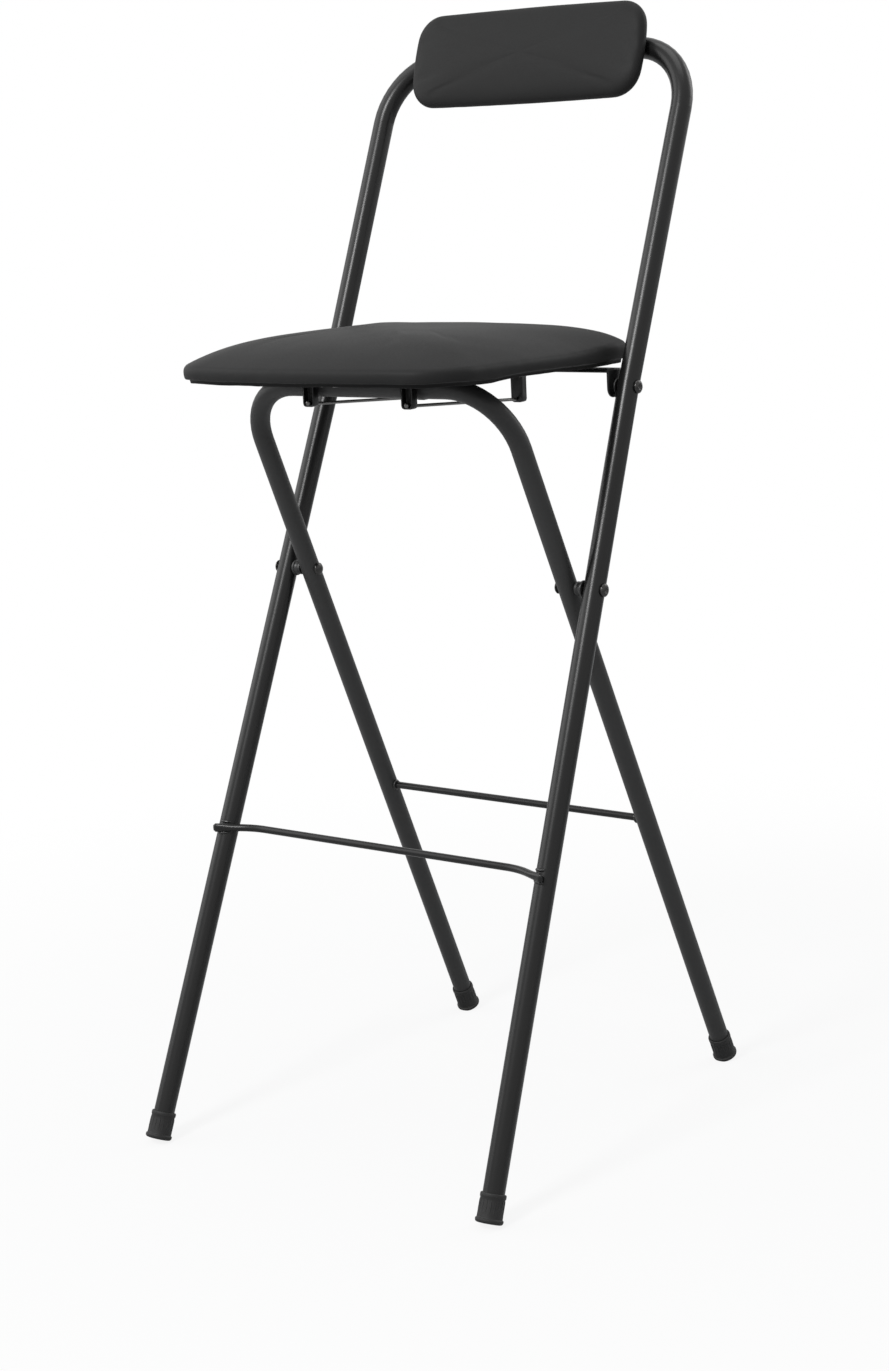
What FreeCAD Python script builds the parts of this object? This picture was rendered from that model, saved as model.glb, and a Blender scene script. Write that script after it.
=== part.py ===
import FreeCAD, Part
import math
import os
import Sketcher

# A folding bar stool: two bent tube frames crossed like scissors, a padded seat
# that tips up between the uprights, and a padded backrest.
# Millimetres, +Z up, front towards -Y, origin on the floor under the middle.

os.makedirs("parts", exist_ok=True)
doc = FreeCAD.newDocument("bar_stool")
sheet = doc.addObject("Spreadsheet::Sheet", "sizes")
sheet.Label = "sizes"

# Driving sizes
driving_sizes = [
    # the stool as a whole
    ("overall_width", 420.0),
    ("overall_depth", 480.0),
    ("overall_height", 1050.0),
    ("scissor_height", 526.4),
    ("scissor_setback", -0.5),
    # back frame: front legs and uprights in one bent tube
    ("back_tube_dia", 20.0),
    ("uprights_inside_feet", 21.0),
    ("uprights_draw_in", 0.8),
    ("back_bend_radius", 62.6),
    ("seat_pivot_reach", 191.1),
    # rear leg frame: rear legs and the tube across under the seat
    ("leg_tube_dia", 19.0),
    ("rear_feet_inside_front", 34.6),
    ("rear_top_inside_uprights", 27.3),
    ("leg_bend_radius", 61.4),
    ("cross_tube_past_pivot", 15.6),
    # foot caps
    ("cap_length", 26.5),
    ("cap_floor", 4.0),
    ("cap_wall_top", 1.35),
    ("cap_wall_bottom", 2.7),
    ("cap_lip_height", 3.6),
    ("cap_edge_radius", 2.5),
    ("cap_worn_flat", 0.5),
    # footrest rods
    ("rod_dia", 7.0),
    ("front_rod_height", 288.0),
    ("rear_rod_height", 282.5),
    ("front_rod_crank_run", 31.0),
    ("front_rod_past_leg", 5.3),
    ("front_rod_bend_radius", 14.0),
    ("weld_sink", 0.3),
    # rivets and bushes
    ("rivet_dia", 6.0),
    ("rivet_head_dia", 12.5),
    ("rivet_head_height", 2.6),
    ("rivet_dimple_dia", 5.0),
    ("rivet_dimple_depth", 1.4),
    ("bush_dia", 13.0),
    ("bush_collar_dia", 15.5),
    ("bush_collar_length", 2.2),
    ("washer_dia", 15.0),
    ("washer_room", 2.2),
    ("running_gap", 0.05),
    ("touch_gap", 0.3),
    # seat
    ("seat_side_room", 2.8),
    ("seat_front", -195.0),
    ("seat_back", 120.0),
    ("seat_widest", -40.0),
    ("seat_side_bulge", 3.5),
    ("seat_front_bulge", 9.0),
    ("seat_back_bulge", 6.3),
    ("seat_front_corner", 54.0),
    ("seat_back_corner", 22.0),
    ("seat_tilt_degrees", 1.35),
    ("seat_board_thick", 12.0),
    ("seat_board_inset", 6.5),
    ("seat_roll_rise", 2.4),
    ("seat_edge_height", 13.2),
    ("seat_edge_inset", 3.5),
    ("seat_shoulder_rise", 8.4),
    ("seat_crown", 14.3),
    # hinge strip under the back of the seat
    ("strip_width", 28.0),
    ("strip_thick", 2.0),
    ("strip_raised_half", 84.0),
    ("strip_step_run", 10.0),
    ("strip_drop", 8.2),
    ("ear_below_pivot", 9.5),
    ("ear_corner_radius", 9.0),
    # slide guides under the seat
    ("guide_half_gap", 57.0),
    ("post_width", 13.0),
    ("post_depth", 7.5),
    ("post_plate", 2.0),
    ("post_flange", 12.0),
    ("post_corner_radius", 3.0),
    ("post_below_wire", 1.2),
    ("rear_post_room", 3.3),
    ("folded_tube_drop", 0.8),
    ("wire_dia", 3.0),
    ("wire_clear", 0.2),
    ("front_wire_below_tube", 5.0),
    # backrest
    ("back_pad_half_width", 134.0),
    ("back_pad_half_height", 47.3),
    ("back_pad_lean_degrees", 18.0),
    ("back_pad_drop", 6.4),
    ("back_pad_corner", 27.0),
    ("back_pad_bow", 1.0),
    ("back_pad_thick", 16.8),
    ("back_pad_crown", 2.6),
    ("back_pad_shoulder", 8.0),
    ("back_board_thick", 9.0),
    ("back_board_inset", 7.0),
    ("back_pad_roll", 2.0),
]
for row, (name, size) in enumerate(driving_sizes, 1):
    sheet.set("A%d" % row, name)
    sheet.set("B%d" % row, repr(size))
    sheet.setAlias("B%d" % row, name)
doc.recompute()


def size(name):
    """One driving size as a plain number."""
    return float(sheet.get(name))


def cell(name):
    """The same size as an expression that a feature can be bound to."""
    return "sizes." + name


def bind(item, **expressions):
    """Tie an object's properties to sheet cells."""
    for prop, expression in expressions.items():
        item.setExpression(prop, expression)


def vec(x, y, z):
    return FreeCAD.Vector(x, y, z)


def rotation(axis, angle):
    return FreeCAD.Rotation(axis, angle)


x_axis = vec(1, 0, 0)
y_axis = vec(0, 1, 0)
z_axis = vec(0, 0, 1)
node_objects = {}


def node(name, item):
    """Keep an object as one finished piece of the stool."""
    item.Label = name
    node_objects[name] = item
    return item


def solid_feature(name, shape, placement=None):
    """A finished piece whose shape is made with Part's own functions."""
    item = doc.addObject("Part::Feature", name + "_shape")
    item.Shape = shape
    if placement is not None:
        item.Placement = placement
    return item


# Where the frames stand: leans and pivots worked out from the driving sizes
back_r = size("back_tube_dia") / 2
leg_r = size("leg_tube_dia") / 2
back_cap_r = back_r + size("cap_wall_bottom")
leg_cap_r = leg_r + size("cap_wall_bottom")
half_depth = size("overall_depth") / 2
back_foot_half = size("overall_width") / 2 - back_cap_r
upright_half = back_foot_half - size("uprights_inside_feet")
upright_top_half = upright_half - size("uprights_draw_in")
leg_foot_half = back_foot_half - size("rear_feet_inside_front")
leg_top_half = upright_half - size("rear_top_inside_uprights")
seat_half_width = upright_half - back_r - size("seat_side_room")
pivot_reach = size("seat_pivot_reach")
cross_reach = pivot_reach + size("cross_tube_past_pivot")
post_to_pivot = (size("cross_tube_past_pivot") - leg_r - size("touch_gap")
                 + size("rear_post_room"))


def foot_lean(cap_radius, setback):
    """Lean of a leg, in degrees, so that its cap reaches the overall depth."""
    edge = size("cap_edge_radius")
    lean = math.radians(23)
    for step in range(40):
        rise = (cap_radius - edge) * math.sin(lean) - size("cap_worn_flat")
        corner = cap_radius * math.cos(lean) - edge * math.sin(lean)
        run = half_depth - corner - setback
        lean = math.atan(run / (size("scissor_height") - rise))
    return math.degrees(lean), rise


back_lean, back_foot_rise = foot_lean(back_cap_r, -size("scissor_setback"))
leg_lean, leg_foot_rise = foot_lean(leg_cap_r, size("scissor_setback"))
scissor = vec(0, size("scissor_setback"), size("scissor_height"))
back_up = vec(0, math.sin(math.radians(back_lean)), math.cos(math.radians(back_lean)))
leg_up = vec(0, -math.sin(math.radians(leg_lean)), math.cos(math.radians(leg_lean)))
back_frame_place = FreeCAD.Placement(scissor, rotation(x_axis, -back_lean))
leg_frame_place = FreeCAD.Placement(scissor, rotation(x_axis, leg_lean))
back_foot = -(size("scissor_height") - back_foot_rise) / back_up.z
leg_foot = -(size("scissor_height") - leg_foot_rise) / leg_up.z
back_splay = math.degrees(math.atan((back_foot_half - upright_half) / (pivot_reach - back_foot)))
leg_splay = math.degrees(math.atan((leg_foot_half - leg_top_half) / (cross_reach - leg_foot)))
seat_pivot = scissor + back_up * pivot_reach
cross_tube = scissor + leg_up * cross_reach
board_bottom = cross_tube.z + leg_r + size("touch_gap")

# The backrest leans a little less than the uprights
pad_lean = size("back_pad_lean_degrees")
pad_up = vec(0, math.sin(math.radians(pad_lean)), math.cos(math.radians(pad_lean)))
pad_out = vec(0, -pad_up.z, pad_up.y)
# The sides of its padding, as inset and height over the board's back
pad_roll = size("back_pad_roll")
pad_depth = size("back_pad_thick") - pad_roll
pad_shoulder = size("back_pad_shoulder")
pad_crown = size("back_pad_crown")
pad_rings = [
    (pad_shoulder * 0.4, pad_roll),
    (0, pad_roll + pad_depth * 0.4),
    (pad_shoulder * 0.3, pad_roll + pad_depth * 0.82),
    (pad_shoulder, pad_roll + pad_depth),
    (pad_shoulder * 2, pad_roll + pad_depth + pad_crown),
]
# The top tube lies where the backrest's upper edge then reaches the full height
pad_rise = max(pad_out.z * height - pad_up.z * inset for inset, height in pad_rings)
pad_above = size("back_pad_half_height") - size("back_pad_drop")
pad_off = back_r + size("touch_gap") / 2
tube_height = size("overall_height") - pad_rise - pad_up.z * pad_above - pad_out.z * pad_off
top_reach = (tube_height - scissor.z) / back_up.z
top_tube = scissor + back_up * top_reach
pad_place = FreeCAD.Placement(
    top_tube + pad_out * pad_off - pad_up * size("back_pad_drop"), rotation(x_axis, 90 - pad_lean))


def lean_room(radius, splay):
    """How far a disc of this radius must stand off a tube that leans sideways past it."""
    return radius * math.tan(math.radians(splay))


def back_half_at(reach):
    """Half the gap between the back frame's tube centres, at a reach from the scissor pivot."""
    if reach > pivot_reach:
        share = (reach - pivot_reach) / (top_reach - pivot_reach)
        return upright_half + share * (upright_top_half - upright_half)
    share = (pivot_reach - reach) / (pivot_reach - back_foot)
    return upright_half + share * (back_foot_half - upright_half)


def leg_half_at(reach):
    """The same for the rear leg frame."""
    share = (cross_reach - reach) / (cross_reach - leg_foot)
    return leg_top_half + share * (leg_foot_half - leg_top_half)


def mirror_x(point):
    return vec(-point.x, point.y, point.z)


def pair(name, items):
    """A left and a right copy kept under one name as two separate solids."""
    group = doc.addObject("Part::Compound", name + "_pair")
    group.Links = items
    return node(name, group)


def origin_plane(body, role):
    for feature in body.Origin.OriginFeatures:
        if feature.Role == role:
            return feature


def new_sketch(body, name, role):
    sketch = body.newObject("Sketcher::SketchObject", name)
    sketch.AttachmentSupport = [(origin_plane(body, role), "")]
    sketch.MapMode = "FlatFace"
    return sketch


def join_ends(sketch, closed):
    """Tie each stretch of a sketch to the next where their ends meet."""
    count = sketch.GeometryCount
    for index in range(count if closed else count - 1):
        after = (index + 1) % count
        for one in (1, 2):
            for other in (1, 2):
                apart = sketch.getPoint(index, one) - sketch.getPoint(after, other)
                if apart.Length < 0.000001:
                    sketch.addConstraint(
                        Sketcher.Constraint("Coincident", index, one, after, other))


def bent_path(corners, radii):
    """Lines through the corners of a bent tube; a radius of 0 is a slight turn with no arc."""
    edges = []
    start = corners[0]
    for before, corner, after, radius in zip(corners, corners[1:], corners[2:], radii):
        if radius == 0:
            edges.append(Part.LineSegment(start, corner))
            start = corner
            continue
        into = (corner - before).normalize()
        out = (after - corner).normalize()
        turn = into.getAngle(out)
        trim = radius * math.tan(turn / 2)
        first = corner - into * trim
        last = corner + out * trim
        inward = (out - into).normalize()
        middle = corner + inward * (radius / math.cos(turn / 2) - radius)
        edges.append(Part.LineSegment(start, first))
        edges.append(Part.Arc(first, middle, last))
        start = last
    edges.append(Part.LineSegment(start, corners[-1]))
    return edges


def bent_tube(name, corners, radii, diameter_cell):
    """A tube bent in one plane: a path sketch and a circle swept along it.

    Its caps close it, so the bore isn't drawn.
    """
    body = doc.addObject("PartDesign::Body", name)
    path = new_sketch(body, name + "_path", "XZ_Plane")
    flat = [vec(corner.x, corner.z, 0) for corner in corners]
    edges = bent_path(flat, radii)
    path.addGeometry(edges, False)
    join_ends(path, False)
    ring = new_sketch(body, name + "_ring", "XY_Plane")
    ring.addGeometry(Part.Circle(vec(0, 0, 0), z_axis, size(diameter_cell) / 2), False)
    ring.addConstraint(Sketcher.Constraint("Coincident", 0, 3, -1, 1))
    ring_size = ring.addConstraint(Sketcher.Constraint("Diameter", 0, size(diameter_cell)))
    ring.setExpression("Constraints[%d]" % ring_size, cell(diameter_cell))
    along = corners[1] - corners[0]
    ring.AttachmentOffset = FreeCAD.Placement(corners[0], FreeCAD.Rotation(z_axis, along))
    doc.recompute()
    pipe = body.newObject("PartDesign::AdditivePipe", name + "_pipe")
    pipe.Profile = (ring, [""])
    pipe.Spine = (path, ["Edge%d" % (number + 1) for number in range(len(edges))])
    pipe.Transition = "Right corner"
    doc.recompute()
    return body


def cross_hole(name, diameter, length, centre):
    """A round cutter along X through a tube."""
    cutter = doc.addObject("Part::Cylinder", name)
    cutter.Radius = diameter / 2
    cutter.Height = length
    cutter.Placement = FreeCAD.Placement(centre - x_axis * (length / 2), rotation(y_axis, 90))
    return cutter


def pierced(name, base, cutters):
    """A piece with its holes cut."""
    tool = cutters[0]
    if len(cutters) > 1:
        tool = doc.addObject("Part::MultiFuse", name + "_cutters")
        tool.Shapes = cutters
    cut = doc.addObject("Part::Cut", name + "_cut")
    cut.Base = base
    cut.Tool = tool
    return node(name, cut)


# Back frame tube
tube_start = back_foot + size("cap_floor") + lean_room(back_r, back_splay)
back_corners = [
    vec(-back_half_at(tube_start), 0, tube_start),
    vec(-upright_half, 0, pivot_reach),
    vec(-upright_top_half, 0, top_reach),
    vec(upright_top_half, 0, top_reach),
    vec(upright_half, 0, pivot_reach),
    vec(back_half_at(tube_start), 0, tube_start),
]
back_radii = [0, size("back_bend_radius"), size("back_bend_radius"), 0]
back_tube_body = bent_tube("back_tube_bent", back_corners, back_radii, "back_tube_dia")
back_tube_body.Placement = back_frame_place

rivet_fit = size("rivet_dia") + 2 * size("running_gap")
hole_length = 1.1 * size("overall_width")
scissor_drill = cross_hole("back_scissor_drill", rivet_fit, hole_length, scissor)
seat_drill = cross_hole("back_seat_drill", rivet_fit, hole_length, seat_pivot)

pierced("back_frame_tube", back_tube_body, [scissor_drill, seat_drill])

# Rear leg frame tube
leg_start = leg_foot + size("cap_floor") + lean_room(leg_r, leg_splay)
leg_corners = [
    vec(-leg_half_at(leg_start), 0, leg_start),
    vec(-leg_top_half, 0, cross_reach),
    vec(leg_top_half, 0, cross_reach),
    vec(leg_half_at(leg_start), 0, leg_start),
]
leg_radii = [size("leg_bend_radius"), size("leg_bend_radius")]
leg_tube_body = bent_tube("leg_tube_bent", leg_corners, leg_radii, "leg_tube_dia")
leg_tube_body.Placement = leg_frame_place
leg_drill = cross_hole("leg_scissor_drill", rivet_fit, hole_length, scissor)
pierced("rear_leg_frame_tube", leg_tube_body, [leg_drill])


# Foot caps
def foot_cap(name, tube_cell, side, foot_half, splay, frame_place, foot_reach):
    """A rubber cap: a turned cup over the tube's end, worn flat where it meets the floor."""
    body = doc.addObject("PartDesign::Body", name + "_cup")
    sketch = new_sketch(body, name + "_profile", "XZ_Plane")
    bore = size(tube_cell) / 2 + size("running_gap")
    top_r = size(tube_cell) / 2 + size("cap_wall_top")
    bottom_r = size(tube_cell) / 2 + size("cap_wall_bottom")
    edge = size("cap_edge_radius")
    lip = size("cap_lip_height")
    length = size("cap_length")
    floor = size("cap_floor")
    points = [
        vec(0, 0, 0), vec(bottom_r - edge, 0, 0), vec(bottom_r, edge, 0), vec(bottom_r, lip, 0),
        vec(top_r, length, 0), vec(bore, length, 0), vec(bore, floor, 0), vec(0, floor, 0),
    ]
    for index, point in enumerate(points):
        after = points[(index + 1) % len(points)]
        sketch.addGeometry(Part.LineSegment(point, after), False)
    join_ends(sketch, True)
    doc.recompute()
    turned = body.newObject("PartDesign::Revolution", name + "_turned")
    turned.Profile = sketch
    turned.ReferenceAxis = (sketch, ["V_Axis"])
    turned.Angle = 360
    doc.recompute()
    along = FreeCAD.Placement(vec(side * foot_half, 0, foot_reach), rotation(y_axis, -side * splay))
    body.Placement = frame_place.multiply(along)
    ground = doc.addObject("Part::Box", name + "_floor")
    ground.Length = 4 * bottom_r
    ground.Width = 4 * bottom_r
    ground.Height = length
    corner = body.Placement.Base - vec(2 * bottom_r, 2 * bottom_r, 0)
    ground.Placement = FreeCAD.Placement(vec(corner.x, corner.y, -length), FreeCAD.Rotation())
    cut = doc.addObject("Part::Cut", name + "_worn")
    cut.Base = body
    cut.Tool = ground
    return cut


front_caps = []
rear_caps = []
for side, word in ((-1, "left"), (1, "right")):
    front_caps.append(foot_cap("front_foot_cap_" + word, "back_tube_dia", side,
                               back_foot_half, back_splay, back_frame_place, back_foot))
    rear_caps.append(foot_cap("rear_foot_cap_" + word, "leg_tube_dia", side,
                              leg_foot_half, leg_splay, leg_frame_place, leg_foot))
pair("front_foot_caps", front_caps)
pair("rear_foot_caps", rear_caps)


# Footrest rods
def point_on(frame_up, height):
    """The point of a frame's middle plane at a height."""
    reach = (height - scissor.z) / frame_up.z
    return scissor + frame_up * reach, reach


rod_r = size("rod_dia") / 2
rod_mid, rod_reach = point_on(back_up, size("front_rod_height"))
front_leg_half = back_half_at(rod_reach)
# Each end comes forward onto the front of its leg and is welded there
end_forward = (back_r + rod_r - size("weld_sink")) / back_up.z
end_run = front_leg_half + size("front_rod_past_leg")
crank_end = vec(front_leg_half, rod_mid.y - end_forward, rod_mid.z)
crank_start = vec(front_leg_half - size("front_rod_crank_run"), rod_mid.y, rod_mid.z)
crank_way = (crank_end - crank_start).normalize()
rod_end = crank_start + crank_way * ((end_run - crank_start.x) / crank_way.x)
rod_edges = bent_path([mirror_x(rod_end), mirror_x(crank_start), crank_start, rod_end],
                      [size("front_rod_bend_radius")] * 2)
rod_wire = Part.Wire([edge.toShape() for edge in rod_edges])
rod_ring = Part.Wire(Part.Circle(mirror_x(rod_end), vec(crank_way.x, -crank_way.y, 0), rod_r).toShape())
node("front_footrest_rod", solid_feature(
    "front_footrest_rod", rod_wire.makePipeShell([rod_ring], True, False)))

rear_mid, rear_reach = point_on(leg_up, size("rear_rod_height"))
rear_half = leg_half_at(rear_reach) - leg_r + size("weld_sink")
rear_rod = doc.addObject("Part::Cylinder", "rear_footrest_rod_bar")
bind(rear_rod, Radius=cell("rod_dia") + " / 2")
rear_rod.Height = 2 * rear_half
rear_rod.Placement = FreeCAD.Placement(vec(-rear_half, rear_mid.y, rear_mid.z), rotation(y_axis, 90))
node("rear_footrest_rod", rear_rod)


# Rivets and bushes at the pivots
def turned(name, profile, centre, side):
    """A round piece turned about X, its profile given as distance outwards and radius."""
    points = [vec(along, 0, radius) for along, radius in profile]
    face = Part.Face(Part.makePolygon(points + [points[0]]))
    shape = face.revolve(vec(0, 0, 0), x_axis, 360)
    turn = rotation(z_axis, 0 if side > 0 else 180)
    return solid_feature(name, shape, FreeCAD.Placement(centre, turn))


def rivet_profile(inner, outer):
    """A rivet with a sloped head at each end, the outer one dimpled; both ends are head seats."""
    head = size("rivet_head_height")
    wide = size("rivet_head_dia") / 2
    shank = size("rivet_dia") / 2
    dimple = size("rivet_dimple_dia") / 2
    deep = size("rivet_dimple_depth")
    return [
        (inner - head, 0), (inner - head, dimple), (inner, wide), (inner, shank),
        (outer, shank), (outer, wide), (outer + head, dimple), (outer + head - deep, 0),
    ]


back_at_scissor = back_half_at(0)
leg_at_scissor = leg_half_at(0)
back_at_seat = upright_half
gap = size("touch_gap")
head_r = size("rivet_head_dia") / 2
collar_r = size("bush_collar_dia") / 2
scissor_rivets = []
scissor_bushes = []
for side, word in ((-1, "left"), (1, "right")):
    centre = vec(0, scissor.y, scissor.z)
    inner_seat = leg_at_scissor - leg_r - gap - lean_room(head_r, leg_splay)
    outer_seat = back_at_scissor + back_r + gap / 2 + lean_room(head_r, back_splay)
    scissor_rivets.append(
        turned("scissor_rivet_" + word, rivet_profile(inner_seat, outer_seat), centre, side))
    slim = size("bush_dia") / 2
    bush_in = leg_at_scissor + leg_r + gap + lean_room(slim, leg_splay)
    bush_out = back_at_scissor - back_r - gap / 2 - lean_room(collar_r, back_splay)
    bore = size("rivet_dia") / 2 + size("running_gap")
    collar = size("bush_collar_length")
    bush = [(bush_in, bore), (bush_in, slim), (bush_out - collar, slim),
            (bush_out - collar, collar_r), (bush_out, collar_r), (bush_out, bore)]
    scissor_bushes.append(turned("scissor_bush_" + word, bush, centre, side))
pair("scissor_rivets", scissor_rivets)
pair("scissor_bushes", scissor_bushes)

# Seat hinge: the strip's ears turn on rivets inside the uprights
ear_outer = back_at_seat - back_r - size("washer_room")
ear_inner = ear_outer - size("strip_thick")
pivot_rivets = []
pivot_washers = []
for side, word in ((-1, "left"), (1, "right")):
    centre = vec(0, seat_pivot.y, seat_pivot.z)
    outer_seat = back_at_seat + back_r + gap / 2 + lean_room(head_r, back_splay)
    profile = rivet_profile(ear_inner - gap, outer_seat)
    pivot_rivets.append(turned("seat_pivot_rivet_" + word, profile, centre, side))
    bore = size("rivet_dia") / 2 + size("running_gap")
    wide = size("washer_dia") / 2
    washer_out = back_at_seat - back_r - gap / 2
    washer = [(ear_outer + gap, bore), (ear_outer + gap, wide),
              (washer_out, wide), (washer_out, bore)]
    pivot_washers.append(turned("seat_pivot_washer_" + word, washer, centre, side))
pair("seat_pivot_rivets", pivot_rivets)
pair("seat_pivot_washers", pivot_washers)


# Rounded outlines with gently bowed sides, for the seat and the backrest
def bowed_outline(half_width, front, back, widest, side_bulge, front_bulge, back_bulge,
                  front_round, back_round, inset, height, share=1.0):
    """A closed outline of eight arcs, inset evenly, then drawn in to a share of its size."""

    def bow_radius(chord_half, bulge):
        return (chord_half * chord_half + bulge * bulge) / (2 * bulge)

    side_chord = (back - front - front_round - back_round) / 2
    side_r = bow_radius(side_chord, side_bulge)
    front_r = bow_radius(half_width - front_round, front_bulge)
    back_r_bow = bow_radius(half_width - back_round, back_bulge)
    side_centre = vec(half_width - side_r, widest, 0)
    front_centre = vec(0, front + front_r, 0)
    back_centre = vec(0, back - back_r_bow, 0)

    def corner_centre(end_centre, end_r, corner, expected):
        """Centre of the corner arc that meets the side bow and an end bow smoothly."""
        first = side_r - corner
        second = end_r - corner
        span = end_centre - side_centre
        apart = span.Length
        along = (first * first - second * second + apart * apart) / (2 * apart)
        off = math.sqrt(max(first * first - along * along, 0))
        way = vec(span.x / apart, span.y / apart, 0)
        across = vec(-way.y, way.x, 0) * off
        found = [side_centre + way * along + across, side_centre + way * along - across]
        return min(found, key=lambda place: (place - expected).Length)

    front_corner = corner_centre(
        front_centre, front_r, front_round,
        vec(half_width - front_round, front + front_round, 0))
    back_corner = corner_centre(
        back_centre, back_r_bow, back_round,
        vec(half_width - back_round, back - back_round, 0))

    def towards(origin, through, radius):
        way = (through - origin).normalize()
        return origin + way * radius

    side_front = towards(side_centre, front_corner, side_r - inset)
    side_back = towards(side_centre, back_corner, side_r - inset)
    front_end = towards(front_centre, front_corner, front_r - inset)
    back_end = towards(back_centre, back_corner, back_r_bow - inset)

    def corner_arc(centre, corner, start, end):
        middle = ((start - centre) + (end - centre)).normalize() * (corner - inset)
        return start, centre + middle, end

    arcs = []
    arcs.append((mirror_x(front_end), vec(0, front + inset, 0), front_end))
    arcs.append(corner_arc(front_corner, front_round, front_end, side_front))
    arcs.append((side_front, vec(half_width - inset, widest, 0), side_back))
    arcs.append(corner_arc(back_corner, back_round, side_back, back_end))
    arcs.append((back_end, vec(0, back - inset, 0), mirror_x(back_end)))
    for start, middle, end in reversed(arcs[1:4]):
        arcs.append((mirror_x(end), mirror_x(middle), mirror_x(start)))
    middle = vec(0, (front + back) / 2, 0)

    def drawn_in(point):
        return middle + (point - middle) * share + vec(0, 0, height)

    edges = [Part.Arc(drawn_in(a), drawn_in(b), drawn_in(c)).toShape() for a, b, c in arcs]
    return Part.Wire(edges)


def seat_outline(inset, height, share=1.0):
    return bowed_outline(
        seat_half_width, size("seat_front"), size("seat_back"), size("seat_widest"),
        size("seat_side_bulge"), size("seat_front_bulge"), size("seat_back_bulge"),
        size("seat_front_corner"), size("seat_back_corner"), inset, height, share)


def extruded(wire, height):
    return Part.Face(wire).extrude(vec(0, 0, height))


def padded(rings, outline):
    """A cushion: a ruled loft through rings of one outline, each with its own inset or share."""
    return Part.makeLoft([outline(*ring) for ring in rings], True, True)


# Seat board and its padded cover
fit = size("touch_gap") / 3
board_inset = size("seat_board_inset")
board_thick = size("seat_board_thick")
roll_bottom = board_bottom + size("seat_roll_rise")
edge_height = size("seat_edge_height")
edge_inset = size("seat_edge_inset")
edge_top = roll_bottom + edge_height
shoulder = edge_top + size("seat_shoulder_rise")
seat_crown = size("seat_crown")
seat_rings = [
    (edge_inset * 0.6, roll_bottom),
    (0, roll_bottom + edge_height * 0.53),
    (edge_inset, edge_top),
    (edge_inset, shoulder, 0.88),
    (edge_inset, shoulder + seat_crown * 0.65, 0.7),
    (edge_inset, shoulder + seat_crown, 0.5),
]
# The seat rises a little to the front, turned about the line where it rests on the cross tube
seat_tilt = size("seat_tilt_degrees")
seat_place = FreeCAD.Placement(
    vec(0, 0, 0), rotation(x_axis, -seat_tilt), vec(0, cross_tube.y, board_bottom))


def board_under(y):
    """Height of the tilted board's underside."""
    return board_bottom + (cross_tube.y - y) * math.tan(math.radians(seat_tilt))


strip_top = board_under(seat_pivot.y + size("strip_width") / 2) - fit
cushion = padded(seat_rings, seat_outline)
pocket = extruded(seat_outline(board_inset - fit, board_bottom - fit), board_thick + 2 * fit)
node("seat_cushion", solid_feature("seat_cushion", cushion.cut(pocket), seat_place))

# Slide guides: a post in front of the cross tube, one before the hinge, a wire between
post_wide = size("post_width")
post_deep = size("post_depth")
plate = size("post_plate")
wire_r = size("wire_dia") / 2
front_post_face = cross_tube.y - leg_r - gap
rear_post_face = seat_pivot.y - post_to_pivot
front_wire_z = cross_tube.z - leg_r - size("front_wire_below_tube")
strip_under = strip_top - size("strip_thick")
flange_top = board_under(front_post_face) - fit

# Folded, the cross tube rests between the rear post and the wire
folded_along = post_to_pivot + leg_r + gap
folded_down = size("folded_tube_drop")
folded_reach = math.hypot(folded_along, folded_down)
folded_cos = (pivot_reach ** 2 + cross_reach ** 2 - folded_reach ** 2) / (
    2 * pivot_reach * cross_reach)
folded_angle = math.degrees(math.acos(folded_cos))
leg_fold = back_lean + leg_lean - folded_angle
folded_lean = math.radians(back_lean - folded_angle)
folded_tube = scissor + vec(0, math.sin(folded_lean), math.cos(folded_lean)) * cross_reach
rise = math.degrees(math.atan2(folded_tube.z - seat_pivot.z, seat_pivot.y - folded_tube.y))
seat_fold = rise + math.degrees(math.atan2(folded_down, folded_along))
print("legs fold %.4f degrees, the seat tips %.4f, ratio %.5f" % (
    leg_fold, seat_fold, seat_fold / leg_fold))
print("seat pivot", seat_pivot, "cross tube", cross_tube)

# The wire slopes so that the folded tube just clears it
tube_y = seat_pivot.y - folded_along
tube_z = seat_pivot.z - folded_down
front_y = front_post_face - post_deep / 2
need = leg_r + wire_r + size("wire_clear")
span_y = tube_y - front_y
span_z = tube_z - front_wire_z
reach = math.hypot(span_y, span_z)
wire_slope = math.atan2(span_z, span_y) - math.asin(need / reach)
rear_y = rear_post_face + post_deep / 2
rear_wire_z = front_wire_z + (rear_y - front_y) * math.tan(wire_slope)


def guide_wire_bar(name, side, radius, spare):
    """The round wire, or with more radius the drill for it."""
    way = vec(0, math.cos(wire_slope), math.sin(wire_slope))
    length = (rear_y - front_y) / way.y + post_deep + spare
    bar = doc.addObject("Part::Cylinder", name)
    bar.Radius = radius
    bar.Height = length
    start = vec(side * size("guide_half_gap"), front_y, front_wire_z) - way * ((post_deep + spare) / 2)
    bar.Placement = FreeCAD.Placement(start, FreeCAD.Rotation(z_axis, way))
    return bar


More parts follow.
